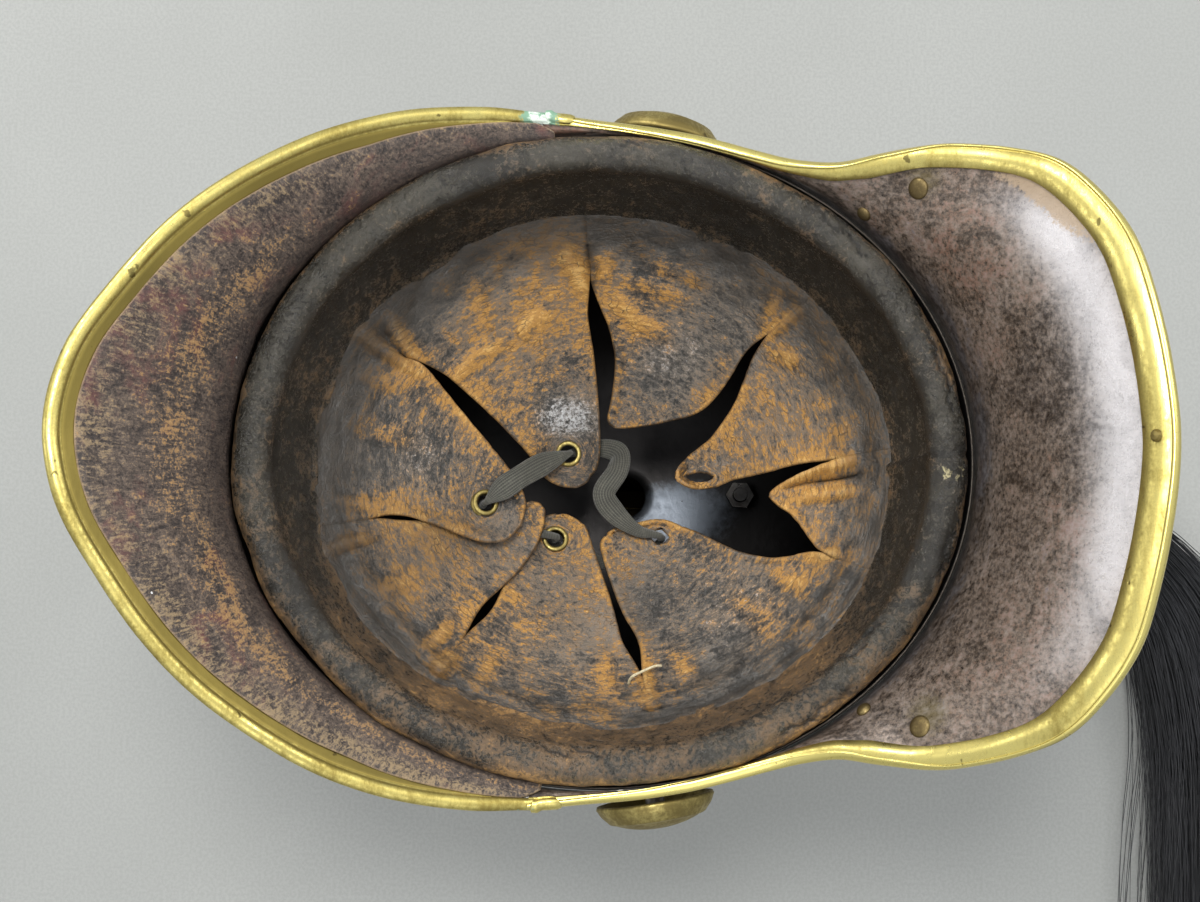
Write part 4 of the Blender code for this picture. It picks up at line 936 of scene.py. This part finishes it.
def build_band(look):
    """The sweatband's wall, from under the roll down to the liner, with its overlapped seam at the back."""
    turns = circle(420)
    rows = curve([(0.0926, 0.1045, 0.1835), (0.0905, 0.102, 0.172), (0.0872, 0.0982, 0.16),
                  (0.0848, 0.0953, 0.1512), (0.083, 0.0934, 0.1478)], 26)
    grid = np.array([ellipse(*row, turns) for row in rows])
    points = grid.reshape(-1, 3)
    out = unit(points * [1, 1, 0])
    drop = np.repeat(np.linspace(0, 1, len(rows)), len(turns))
    folds = 0.55 * field(points * [1, 1, 0.22], 9 * MM, seed=41, octaves=3) * smooth(0.0, 0.5, drop)
    folds = folds + 0.8 * field(points * [1, 1, 0.5], 32 * MM, seed=42) * smooth(0.0, 0.4, drop)
    angle = np.tile(np.degrees(turns), len(rows))
    seam = smooth(92.2, 91.6, angle) * smooth(88.0, 91.0, angle)
    points = points - ((folds + 0.9 * seam) * MM)[:, None] * out
    faces = grid_faces(len(rows), len(turns), round_columns=True)
    faces, _ = facing(points, faces, -out)
    wear = 0.3 * smooth(0.3, 1.0, drop) + 0.55 * smooth(0.01, 0.07, points[:, 0]) + 0.2 * folds + 0.1
    rub_and_painted_light = 0.5 + 0.35 * smooth(0.55, 1.0, drop)
    values = {"wear": wear, "rub_and_painted_light": rub_and_painted_light, "crack": smooth(0.5, 0.95, seam) * smooth(91.4, 91.8, angle),
              "pale": 0 * wear}
    made, made_faces, made_values = skin(points, faces, 0.5 * MM, -0.7 * MM, values)
    piece = add_piece("band_wall", made, made_faces, look, made_values)
    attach(piece, "shell")
    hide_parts("sweatband")


# ---------------------------------------------------------------- liner

# Folds in the liner, millimetres: where each starts and ends in plan, its half width and its height
FOLDS = (
    ((-46, -84), (-31, -57), 2.0, 1.7), ((-51, -73), (-33, -57), 1.8, 1.5),
    ((-48, -79), (-32, -57), 0.9, -1.6), ((-31, -55), (-47, -30), 2.2, 1.1),
    ((-47, -30), (-56, -16), 2.4, 1.0), ((-30, -84), (-28, -62), 2.6, 0.7),
    ((-77, -14), (-60, -5), 2.2, 1.5), ((-78, -5), (-60, -3), 1.0, -1.5), ((-76, 2), (-62, 0), 2.4, 1.0),
    ((-62, 0), (-42, 30), 2.6, 0.8), ((-66, 4), (-59, 32), 2.2, 0.7), ((-70, 14), (-66, 36), 2.0, 0.6),
    ((-56, 68), (-45, 51), 2.0, 1.4), ((-64, 60), (-49, 53), 1.6, 1.1), ((-38, 68), (-46, 54), 1.8, 0.9),
    ((0, 92), (3, 58), 1.1, -1.6), ((-5, 89), (-1, 60), 1.8, 1.2), ((6, 88), (8, 62), 2.0, 1.2),
    ((27, 82), (29, 68), 1.8, 1.1), ((40, 74), (32, 58), 2.4, 0.7), ((54, 60), (38, 42), 2.6, 0.6),
    ((80, 20), (60, 14), 1.8, 1.2), ((72, 34), (54, 22), 2.6, 0.7), ((78, 4), (56, 2), 2.4, 0.7),
    ((70, -54), (57, -44), 2.0, 1.5), ((61, -58), (50, -46), 1.8, 1.1), ((74, -38), (56, -34), 2.4, 0.7),
    ((30, -90), (20, -70), 1.8, 1.3), ((12, -90), (13, -68), 2.2, 0.9), ((44, -76), (34, -56), 2.6, 0.6),
    ((-14, -86), (-8, -60), 2.8, 0.6), ((-66, -44), (-48, -40), 2.4, 0.7),
)
SLIT_RING = 0.905
BAND_RING = 1.004
SKIRT_ROWS, TONGUE_ROWS, ACROSS = 12, 52, 46


def liner_ring(plan):
    """How far out a place in plan is: 0 at the crown, 1 at the liner's oval border."""
    return np.hypot(plan[..., 0] / LINER_HALF[0], plan[..., 1] / LINER_HALF[1])


def bowl_normal(place):
    """The liner's smooth bowl's normal over a place, towards the head."""
    slope = 2 * (LINER_HIGH - LINER_LOW) * place[:2] / LINER_HALF**2
    return unit(np.array([-slope[0], -slope[1], 1.0]))


def slit_end(first, second):
    """Where the slit between two neighbouring tongues ends, near the sweatband."""
    corner = (np.array(TONGUES[first][1][0]) + np.array(TONGUES[second][0][0])) / 2 * MM
    return corner * SLIT_RING / liner_ring(corner)


def closing(edge, other, end):
    """An edge's points, drawn to the middle of the slit towards the slit's end."""
    fixed = np.vstack([end, edge[1:]])
    line = curve(fixed, TONGUE_ROWS)
    across = curve(np.vstack([end, other[1:]]), 60)
    middle = (line + nearest(line, across)) / 2
    near = smooth(24 * MM, 3 * MM, np.linalg.norm(line - end, axis=1))[:, None]
    return line + 0.92 * near * (middle - line)


def sector_edges(tongue):
    """A tongue's two edges in plan, from the sweatband down to the tip."""
    before, after = (tongue - 2) % 8 + 1, tongue % 8 + 1
    left, right = (np.array(edge) * MM for edge in TONGUES[tongue][:2])
    ends = slit_end(before, tongue), slit_end(tongue, after)
    others = np.array(TONGUES[before][1]) * MM, np.array(TONGUES[after][0]) * MM
    edges = []
    for edge, other, end in zip((left, right), others, ends):
        skirt = end * (np.linspace(BAND_RING, SLIT_RING, SKIRT_ROWS, endpoint=False) / SLIT_RING)[:, None]
        edges.append(np.vstack([skirt, closing(edge, other, end)]))
    return edges


def between(left, right):
    """The plan grid of a sector: round the oval near the sweatband, straight across near the tip."""
    shares = np.linspace(0, 1, ACROSS)
    down = np.clip((np.arange(len(left)) - SKIRT_ROWS) / (TONGUE_ROWS - 1), 0, 1)
    straight = left[:, None] + shares[None, :, None] * (right - left)[:, None]
    scaled = [edge / LINER_HALF for edge in (left, right)]
    rings = [np.hypot(*edge.T) for edge in scaled]
    angles = [np.arctan2(edge[:, 1], edge[:, 0]) for edge in scaled]
    turn = (angles[1] - angles[0] + math.pi) % (2 * math.pi) - math.pi
    ring = rings[0][:, None] + shares * (rings[1] - rings[0])[:, None]
    angle = angles[0][:, None] + shares * turn[:, None]
    polar = np.dstack([ring * np.cos(angle) * LINER_HALF[0], ring * np.sin(angle) * LINER_HALF[1]])
    share = smooth(0.0, 0.55, down)[:, None, None]
    return (1 - share) * polar + share * straight, down


def rounded_tip(plan, down):
    """Draws in the last rows so that the tip is a rounded tab and not cut square."""
    middle = plan.mean(axis=1, keepdims=True)
    width = np.linalg.norm(plan[-1, -1] - plan[-1, 0])
    length = np.linalg.norm(np.diff(middle[:, 0], axis=0), axis=1)[SKIRT_ROWS:].sum()
    share = min(0.45, 0.75 * width / length)
    late = np.clip((down - (1 - share)) / share, 0, 1)
    narrow = np.sqrt(np.maximum(1 - late**2.2, 0.0)).clip(0.05)
    return middle + narrow[:, None, None] * (plan - middle)


def opened(points, centre, radius, squash):
    """Moves the points off a hole at the centre, by a push that fades out at three radii."""
    offset = (points[:, :2] - centre[:2]) * [1.0, squash]
    away = np.linalg.norm(offset, axis=1)
    pushed = np.where(away < 3 * radius, radius + away * 2 / 3, away)
    moved = points.copy()
    moved[:, :2] = centre[:2] + offset * (pushed / np.maximum(away, 1e-6))[:, None] / [1.0, squash]
    return moved


def tongue_holes(tongue):
    """A tongue's holes: centre, radius, and how much narrower it is across the helmet than along it."""
    if tongue in EYELETS:
        return [(middle_of(f"tongue_eyelet_{tongue}"), 3.5 * MM, 1.0)]
    return [hole[1:] for hole in (BARE_HOLE, TEAR) if hole[0] == tongue]


def with_holes(points, faces, holes):
    """The leather's points and faces with the holes cut and their rims pushed round."""
    def gaps():
        middles = points[faces].mean(axis=1)[:, :2]
        return np.linalg.norm((middles - centre[:2]) * [1.0, squash], axis=1)

    for centre, radius, squash in holes:
        faces = faces[gaps() >= 0.9 * MM]
        points = opened(points, centre, radius, squash)
        faces = faces[gaps() >= 0.9 * radius]
    return points, faces


def liner_relief(plan):
    """Height of the leather over its smooth bowl, and how creased it is: sagging, folds and fine wrinkles."""
    flat = np.dstack([plan, np.zeros(plan.shape[:2])])
    ring = liner_ring(plan)
    turn = np.arctan2(plan[..., 1] / LINER_HALF[1], plan[..., 0] / LINER_HALF[0])
    relief = 1.5 * field(flat, 34 * MM, seed=51) + 0.4 * field(flat, 9 * MM, seed=52, octaves=3)
    spokes = np.dstack([np.cos(turn) * 0.06, np.sin(turn) * 0.06, 0.12 * ring])
    relief = relief + 1.3 * field(spokes, 7 * MM, seed=53) * smooth(0.72, 0.92, ring)
    low = smooth(-0.02, 0.05, plan[..., 0])
    wander = ring + 0.035 * field(flat, 22 * MM, seed=56) - 0.925
    relief = relief + low * (1.5 * bell(wander, 0.022) - 0.9 * bell(wander - 0.045, 0.012))
    relief = relief * smooth(1.03, 0.95, ring)
    creased = np.zeros(ring.shape)
    warped = plan + 1.6 * MM * np.dstack([field(flat, 14 * MM, seed=54), field(flat, 14 * MM, seed=55)])
    for start, end, width, height in FOLDS:
        start, run = np.array(start) * MM, (np.array(end) - np.array(start)) * MM
        share = ((warped - start) @ run / run.dot(run)).clip(0, 1)
        away = np.linalg.norm(warped - start - share[..., None] * run, axis=2) / (width * MM)
        fade = smooth(-0.05, 0.3, share) * smooth(1.05, 0.6, share)
        relief = relief + 2.0 * height * bell(away, 1.0) * fade
        creased = np.maximum(creased, np.exp(-((0.55 * away) ** 2)) * fade * min(1.0, abs(height)))
    return relief * MM, creased


def leather_values(tongue, plan, down, flat, from_edge, relief, creased):
    """For the liner's look: the run of its fibres, where it is scuffed, where polish and painted sheen lie,
    and where shade is painted: near the sweatband, under tongue 8's overlap and in the valleys.
    """
    ring = liner_ring(plan)
    turn = np.arctan2(plan[..., 1], plan[..., 0])
    flow = np.dstack([0.075 * np.cos(turn), 0.09 * ring, 0.075 * np.sin(turn)])
    by_edge = np.exp(-from_edge / (5.0 * MM)) * smooth(0.0, 0.15, down)[:, None]
    wear = by_edge * (0.42 + 0.5 * field(flat, 12 * MM, seed=64)) + 0.5 * creased
    wear = wear + 0.17 * np.clip(relief / MM, -2, 2) + 0.2 * field(flat, 26 * MM, seed=63) + 0.2
    border = smooth(0.76, 0.98, ring + 0.03 * field(flat, 9 * MM, seed=65, octaves=3))
    shade = 0.82 * border * (0.6 + 0.4 * smooth(0.065, -0.02, plan[..., 0]))
    shade = shade + 0.35 * smooth(0.6, 1.0, ring) * smooth(-0.03, -0.08, plan[..., 1])
    shade = shade + 0.5 * np.exp(-(((plan / MM - np.array([24, -55])) ** 2).sum(axis=2) / 16**2))
    shade = np.clip(shade + 0.5 * smooth(-0.4, -2.2, relief / MM), 0, 0.88)
    return {"flow": flow.reshape(-1, 3), "wear": wear.ravel(), "shine": shine_patch(plan, tongue).ravel(),
            "shade": shade.ravel()}


def build_sector(tongue, look):
    """One tongue with its share of the liner's border."""
    left, right = sector_edges(tongue)
    plan, down = between(left, right)
    plan = rounded_tip(plan, down)
    width = np.linalg.norm(right - left, axis=1)[:, None]
    shares = np.linspace(0, 1, ACROSS)[None]
    from_side = np.minimum(shares, 1 - shares) * width + smooth(0.05, 0.0, down)[:, None] * 20 * MM
    length = np.linalg.norm(plan[-1].mean(0) - plan[SKIRT_ROWS].mean(0))
    from_tip = (1 - down)[:, None] * length
    from_edge = np.minimum(from_side, from_tip + 1 * MM)
    relief, creased = liner_relief(plan)
    holes = tongue_holes(tongue)
    for centre, radius, _ in holes:
        relief = relief * smooth(1.2 * radius, 3.2 * radius, np.linalg.norm(plan - centre[:2], axis=2))
    lift = TONGUES[tongue][2] * MM * np.sin(down * math.pi / 2)[:, None] ** 1.7
    flat = np.dstack([plan, np.full(plan.shape[:2], 0.01 * tongue)])
    curl = (0.9 + 0.9 * field(flat, 16 * MM, seed=61)) * bell(from_edge, 3.0 * MM)
    curl = curl * smooth(0.03, 0.3, down)[:, None]
    if tongue == TEAR[0]:  # its tip is curled up
        curl = curl + 5.0 * smooth(0.8, 1.0, down)[:, None] ** 2
    height = LINER_LOW + (LINER_HIGH - LINER_LOW) * liner_ring(plan) ** 2 + lift + relief + curl * MM
    points = np.dstack([plan, height]).reshape(-1, 3)
    ragged = 0.35 * MM * field(flat, 2.5 * MM, seed=62).ravel() * bell(from_edge.ravel(), 1.2 * MM)
    points[:, :2] += ragged[:, None] * unit(points[:, :2])
    points, faces = with_holes(points, grid_faces(len(left), ACROSS), holes)
    faces, _ = facing(points, faces, UP)
    values = leather_values(tongue, plan, down, flat, from_edge, relief, creased)
    made, made_faces, made_values = skin(points, faces, LEATHER / 2, -LEATHER / 2, values)
    piece = add_piece(f"liner_leather_{tongue}", made, made_faces, look, made_values)
    nodes = [f"liner_tongue_{tongue}"] + (["liner_skirt"] if tongue == 1 else [])
    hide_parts(*nodes)
    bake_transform(piece)


def shine_patch(plan, tongue):
    """Where the leather is painted pale grey, part polish and part painted sheen: a large rub on tongue 1,
    faint ones on tongues 2, 5 and 8.
    """
    spots = {1: (-21, -11.5, 8.5, 12, 0.8), 2: (-42, 24, 12, 14, 0.35), 5: (45, 45, 16, 16, 0.3),
             8: (-6, -60, 11, 11, 0.35)}
    if tongue not in spots:
        return np.zeros(plan.shape[:2])
    x, y, half_width, half_length, strength = spots[tongue]
    away = (plan / MM - np.array([x, y])) / np.array([half_width, half_length])
    return strength * np.exp(-((away**2).sum(axis=2) ** 1.5))


def build_eyelets(brass):
    """Brass eyelets: a rolled flange on the head's side, slightly out of round."""
    for tongue in EYELETS:
        node = f"tongue_eyelet_{tongue}"
        centre = middle_of(node)
        bore, tube_out, flange, top = 2.9 * MM, 3.3 * MM, 4.5 * MM, 1.05 * MM
        roll = [(3.7 * MM + 0.8 * MM * math.cos(turn), top + 0.45 * MM * math.sin(turn) + 0.3 * MM)
                for turn in np.radians(range(-60, 241, 30))]
        back = [(bore, -top - 0.3 * MM), (flange, -top - 0.3 * MM), (flange, -top), (tube_out, -top)]
        profile = [(tube_out, -top), (tube_out, top)] + roll + back
        piece = turned_piece(f"eyelet_{tongue}", profile, centre, bowl_normal(centre), 40, brass)
        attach(piece, f"tongue_{tongue}")
        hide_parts(node)


# ---------------------------------------------------------------- lace and thread

def lace_route():
    """The lace's centre line with its half width, from under tongue 8 round to its loose end."""
    def near(tongue, height):
        centre = BARE_HOLE[1] if tongue == BARE_HOLE[0] else middle_of(f"tongue_eyelet_{tongue}")
        return centre + height * MM * bowl_normal(centre)

    def through(tongue, first, last, half=1.2):
        """Bunched where it passes a hole, from one height over it to another."""
        stops = (first, half), (0, 1.2), (last, 1.2)
        return [(near(tongue, height) / MM, width) for height, width in stops]

    wide, broad = 3.0, 3.9
    route = [((4, -50, 108), wide), ((6, -45, 113), wide), *through(8, -3.4, 2.9, half=2.0),
             ((5.5, -33, 129.8), broad), ((1, -27, 128.6), broad), ((-4.5, -19, 122.6), broad),
             *through(1, 2.9, -3.4),
             ((-11.5, -1, 109.5), wide), ((-9.5, 6, 113), broad), ((-3, 6, 117.5), broad),
             ((5, 1.5, 119), broad), ((11.5, 5, 118), broad), ((17.6, 13, 118), 2.2), *through(5, 2.9, -3.4),
             ((28.5, 13, 108.5), 2.2), ((27.5, -2, 108), 2.2), *through(6, -3.6, 3.5),
             ((19.3, -20.5, 119.4), 1.5), ((19, -26, 119.2), 2.2), ((19, -33, 117), wide),
             ((24, -40, 111.5), wide), ((26, -47, 105.5), wide)]
    return np.array([(*place, half) for place, half in route]) * MM


def build_lace(look):
    """A flat woven lace, ribbed by its material, bunched where it passes an eyelet."""
    route = curve(lace_route(), 420)
    centres, half = route[:, :3], route[:, 3]
    along = unit(np.gradient(centres, axis=0))
    sides = np.zeros_like(centres)
    side = np.array([1.0, 0.0, 0.0])
    for index, run in enumerate(along):
        side = unit(side - side.dot(run) * run)
        level = np.cross(run, UP)
        size = np.linalg.norm(level)
        if size > 0.35:
            level = level / size if level.dot(side) > 0 else -level / size
            side = unit(side + 0.12 * (level - side))
        sides[index] = side
    face = np.cross(along, sides)
    thick = 0.62 * MM * np.where(half < 2.0 * MM, 1.7, 1.0)
    around = 14
    points, faces = tube(centres, sides, face, half, thick, around)
    turns = circle(around)
    travel = np.concatenate([[0], np.cumsum(np.linalg.norm(np.diff(centres, axis=0), axis=1))])
    spread = np.abs(turns - math.pi)
    weave = np.dstack([np.repeat(travel[:, None], around, axis=1), np.tile(spread, (len(centres), 1)),
                       np.zeros((len(centres), around))]).reshape(-1, 3)
    faces, _ = facing(points, faces, points - np.repeat(centres, around, axis=0))
    piece = add_piece("woven_lace", points, faces, look, {"weave": weave})
    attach(piece, "lace")
    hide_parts("lace")


def build_thread(look):
    """A loose end of thread that stands out of the liner by tongue 6."""
    route = ((70, 10.5, 139), (67.5, 11.5, 141.8), (65.5, 15, 142.2), (63.8, 19, 141.6), (63.6, 21.5, 140.6))
    centres = curve(np.array(route) * MM, 60)
    along = unit(np.gradient(centres, axis=0))
    side = unit(np.cross(along, [0.2, 0.1, 1.0]))
    taper = 0.45 * MM * smooth(-0.02, 0.05, np.minimum(np.linspace(0, 1, 60), np.linspace(1, 0, 60)))
    points, faces = tube(centres, side, np.cross(side, along), taper, taper, 8)
    piece = add_piece("loose_thread", points, faces, look)
    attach(piece, "tongue_6")


# ---------------------------------------------------------------- comb and bosses

def ridge(y, inset):
    """The comb's ridge at y, moved towards the skull by inset: y and height."""
    beyond = np.clip((np.abs(y) - COMB_FLAT) / COMB_END, 0, 0.999)
    height = COMB_RISE * (1 - np.sqrt(1 - beyond**2))
    slope = COMB_RISE * beyond / (COMB_END * np.sqrt(1 - beyond**2))
    length = np.hypot(slope, 1.0)
    return y - np.sign(y) * slope / length * inset, height + inset / length


def build_comb(look):
    """The comb's two hollow halves, flat under the ridge strip, swelling down to a foot along the skull."""
    y = np.unique(np.concatenate([np.linspace(-0.1, -COMB_FLAT, 60), np.linspace(-COMB_FLAT, COMB_FLAT, 40),
                                  np.linspace(COMB_FLAT, 0.098, 60)]))
    clear = 1.0 * MM
    along, top = ridge(y, 1.9 * MM)
    base = skull_height(11.8 * MM + 0 * y, y, clear) - 1.2 * MM
    section = [(0.5, 0.0, 0), (6.4, 0.0, 0), (7.2, 0.35, 0), (7.6, 1.2, 0)]
    for side, name in ((-1, "left"), (1, "right")):
        rows = [np.stack([side * x * MM + 0 * y, along, top + rise * MM], axis=1) for x, rise, _ in section]
        for share in np.linspace(0.08, 1.0, 14):
            swell = 7.6 + 4.2 * share ** 1.15
            rows.append(np.stack([side * swell * MM + 0 * y, (1 - share) * along + share * y,
                                  (1 - share) * (top + 1.2 * MM) + share * base], axis=1))
        for x in (12.4, 13.2, 14.6, 16.5):
            rows.append(np.stack([side * x * MM + 0 * y, y, skull_height(x * MM + 0 * y, y, clear)], axis=1))
        grid = np.array(rows)
        points = grid.reshape(-1, 3)
        points = points + 0.2 * MM * field(points, 18 * MM, seed=71)[:, None] * np.array([side, 0, 0])
        faces = grid_faces(*grid.shape[:2])
        faces, _ = facing(points, faces, [side, 0, 0])
        rub_and_painted_light = 0.35 * np.exp(-np.arange(len(rows)) / 3.0)[:, None] + 0 * grid[..., 0]
        made, made_faces, values = skin(points, faces, 0.4 * MM, -0.4 * MM, {"rub_and_painted_light": rub_and_painted_light.ravel()})
        # Painted shade: the inside of the hollow half is near-black.
        values["rub_and_painted_light"][len(points):2 * len(points)] = -1.6
        piece = add_piece(f"comb_half_{name}", made, made_faces, look, values)
        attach(piece, "shell")
        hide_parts(f"comb_{name}")


def build_bosses(look):
    """The side bosses: hollow domes with a turned bead near the edge."""
    turn = math.radians(10)
    angles = np.radians(np.linspace(0.4, 82, 26))
    dome = np.stack([BOSS_RADIUS * np.sin(angles), BOSS_HEIGHT * np.cos(angles)], axis=1)
    dome[:, 1] += 0.45 * MM * bell(dome[:, 0] - 15.0 * MM, 0.8 * MM)
    edge = [(18.6 * MM, 0.4 * MM), (18.3 * MM, -0.6 * MM), (17.3 * MM, -0.6 * MM)]
    inside = (dome - [1.0 * MM, 0.7 * MM])[-4:0:-1].clip([0.05 * MM, -1])
    profile = np.vstack([dome, edge, inside, [(0.05 * MM, 7.5 * MM)]])
    for side, name in ((-1, "left"), (1, "right")):
        centre = np.array(BOSS_CENTRE) * [side, 1, 1]
        axis = np.array([side * math.cos(turn), math.sin(turn), 0.0])
        piece = turned_piece(f"boss_dome_{name}", profile, centre, axis, 72, look)
        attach(piece, "shell")
        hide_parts(f"boss_{name}")


# ---------------------------------------------------------------- tail

def build_hair(look):
    """The horsehair: strands that leave the ferrule together, spread on the table and end unevenly."""
    draw = np.random.default_rng(7)
    strands, joints, around = 1500, 34, 3
    samples = 200
    route = curve(TAIL_ROUTE, samples)
    centre, half_width, half_height = route[:, :3], route[:, 3], route[:, 4]
    along = unit(np.gradient(centre, axis=0))
    side = unit(np.cross(along, UP))
    up = np.cross(side, along)
    spin, reach = draw.uniform(0, 2 * math.pi, strands), np.sqrt(draw.uniform(0, 1, strands))
    ends = draw.uniform(0.72, 1.0, strands)
    stray = np.where(draw.uniform(0, 1, strands) < 0.09, draw.uniform(0.3, 1.3, strands), 0.0)
    place = np.linspace(0, 1, joints)[None] * ends[:, None]
    index = np.minimum((place * (samples - 1)).astype(int), samples - 1)
    phase = draw.uniform(0, 2 * math.pi, (2, strands, 1))
    late = smooth(0.25, 0.9, place)
    astray = 0.9 * stray[:, None] * np.sign(np.cos(spin))[:, None] * place
    across = (reach * np.cos(spin))[:, None] + late * (0.16 * np.sin(7 * place + phase[0]) + astray)
    over = (reach * np.sin(spin))[:, None] + 0.1 * late * np.sin(9 * place + phase[1])
    over = np.clip(over, -0.93, 1.1)
    points = (centre[index] + across[..., None] * half_width[index][..., None] * side[index]
              + over[..., None] * half_height[index][..., None] * up[index])
    points[..., 2] = np.maximum(points[..., 2], 0.5 * MM)
    run = unit(np.gradient(points, axis=1))
    across_run = unit(np.cross(run, UP + 0 * run))
    above = np.cross(across_run, run)
    thick = draw.uniform(0.13, 0.24, strands)[:, None] * MM * (1 - 0.6 * np.linspace(0, 1, joints) ** 2)[None]
    turns = circle(around)
    rings = (points[:, :, None] + thick[..., None, None] * (np.cos(turns)[:, None] * across_run[:, :, None]
                                                            + np.sin(turns)[:, None] * above[:, :, None]))
    faces = grid_faces(joints, around, round_columns=True)
    faces = (faces[None] + (np.arange(strands) * joints * around)[:, None, None]).reshape(-1, 4)
    piece = add_piece("horsehair_strands", rings.reshape(-1, 3), faces, look)
    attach(piece, "tail")
    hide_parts("horsehair_tail")


def build_binding(look):
    """Waxed thread wound round the hair behind the ferrule."""
    low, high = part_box("tail_binding")
    centre = (np.array(low) + np.array(high)) / 2
    winds, steps = 8, 40
    turns = np.linspace(0, 2 * math.pi * winds, winds * steps)
    reach = (high.y - low.y) / 2 - 0.5 * MM
    travel = np.linspace(-reach, reach, len(turns))
    centres = centre + np.stack([9.9 * MM * np.cos(turns), travel, 9.9 * MM * np.sin(turns)], axis=1)
    out = unit((centres - centre) * [1, 0, 1])
    back = np.tile([0.0, 1.0, 0.0], (len(turns), 1))
    thick = np.full(len(turns), 0.48 * MM)
    points, faces = tube(centres, out, back, thick, thick, 8)
    piece = add_piece("tail_winding", points, faces, look)
    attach(piece, "tail")
    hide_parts("tail_binding")


# ---------------------------------------------------------------- the stage

def build_stage():
    """The plain table."""
    half = 3.0
    work = bpy.data.meshes.new("table")
    corners = [(-half, -half, 0), (half, -half, 0), (half, half, 0), (-half, half, 0)]
    work.from_pydata(corners, [], [(0, 1, 2, 3)])
    work.materials.append(floor_look())
    add_object("table", work)


def aimed(thing, place, target):
    """Puts a light or camera at the place, looking at the target."""
    thing.location = place
    thing.rotation_euler = (Vector(target) - Vector(place)).to_track_quat("-Z", "Y").to_euler()


def add_camera():
    """Nearly straight above the head opening, from a little to the wearer's right."""
    elevation, azimuth, distance = math.radians(83.3), math.radians(91.0), 0.56
    target = Vector((-1.1 * MM, 0.0, 0.19))
    back = Vector((math.sin(azimuth) * math.cos(elevation), -math.cos(azimuth) * math.cos(elevation),
                   math.sin(elevation)))
    data = bpy.data.cameras.new("camera")
    data.sensor_width = 36.0
    data.lens = 55.08
    camera = add_object("camera", data)
    camera.location = target + distance * back
    camera.rotation_euler = (-back).to_track_quat("-Z", "Y").to_euler()
    bpy.context.scene.camera = camera


def light_scene():
    bpy.context.scene.view_settings.view_transform = "Standard"
    world = bpy.data.worlds.new("studio")
    bpy.context.scene.world = world
    world.use_nodes = True
    background = world.node_tree.nodes["Background"].inputs
    background["Color"].default_value = (0.93, 0.97, 1.0, 1.0)
    background["Strength"].default_value = 0.75
    lights = {  # place, size across, power, colour
        "overhead": ((-0.3, -0.1, 1.5), 0.45, 15, (1.0, 0.99, 0.95)),
        "window": ((-0.95, -0.65, 0.9), 0.4, 7, (1.0, 0.98, 0.95)),
        "left": ((-0.1, -1.45, 0.62), 0.45, 1.8, (1.0, 0.99, 0.97)),
        "right": ((-0.6, 1.1, 0.95), 0.5, 6, (1.0, 0.99, 0.97)),
        "fill": ((0.85, 0.00, 1.2), 0.9, 3, (1.0, 0.99, 0.97)),
    }
    for name, (place, size, power, colour) in lights.items():
        data = bpy.data.lights.new(name, "AREA")
        data.shape, data.size, data.energy, data.color = "DISK", size, power, colour
        aimed(add_object(name, data), place, (0, 0, 0.15))


def dress_frame(frame, brass, dark_brass, steel, dark_steel):
    """The CAD pieces that stay get the metals' finishes; the ridge strip and the inner nuts are dark."""
    slots = {sub["node"]: sub["material_slot"] for sub in frame["record"]["subparts"]}
    for name, thing in frame["nodes"].items():
        if thing.hide_render:
            continue
        if slots[name] == "brass":
            finish = dark_brass if name == "comb_ridge_strip" else brass
        else:
            finish = dark_steel if "nut" in name or "stud" in name else steel
        for slot in thing.material_slots:
            slot.material = finish


def build():
    """Builds every visible piece on the frame, with its camera, lights and table."""
    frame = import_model()
    add_camera()
    light_scene()
    build_stage()

    brass = brass_look("brass_edging")
    old_brass = brass_look("brass_fittings", bright=(0.66, 0.54, 0.2), dull=(0.22, 0.17, 0.06), tarnish=0.8)
    rivet = brass_look("brass_rivets", bright=(0.34, 0.26, 0.11), dull=(0.13, 0.095, 0.045), tarnish=0.7)
    steel = steel_look("steel_hardware", (0.42, 0.4, 0.38), (0.16, 0.12, 0.09))
    shell = steel_look("steel_shell", (0.4, 0.39, 0.375), (0.2, 0.17, 0.145), pits=0.3)
    band = band_look()

    build_skull(skull_look())
    rims = build_peak(shell, brass, lining_look()), build_guard(guard_look(), brass, rivet)
    build_lap("edging_lap_left", rims, -1, brass)
    build_lap("edging_lap_right", rims, 1, brass)
    build_band(band)
    build_roll(band)
    liner = liner_look()
    for tongue in TONGUES:
        build_sector(tongue, liner)
    build_eyelets(old_brass)
    build_lace(lace_look())
    build_thread(thread_look("cream_thread", (0.7, 0.62, 0.42), (0.42, 0.36, 0.22)))
    build_comb(old_brass)
    build_bosses(old_brass)
    build_hair(hair_look())
    build_binding(thread_look("waxed_thread", (0.1, 0.08, 0.05), (0.04, 0.03, 0.02)))
    dark_brass = brass_look("brass_blackened", (0.16, 0.12, 0.05), (0.05, 0.04, 0.02), tarnish=0.8)
    dark_steel = steel_look("steel_oxidised", (0.1, 0.095, 0.09), (0.04, 0.03, 0.026))
    dress_frame(frame, old_brass, dark_brass, steel, dark_steel)


build()
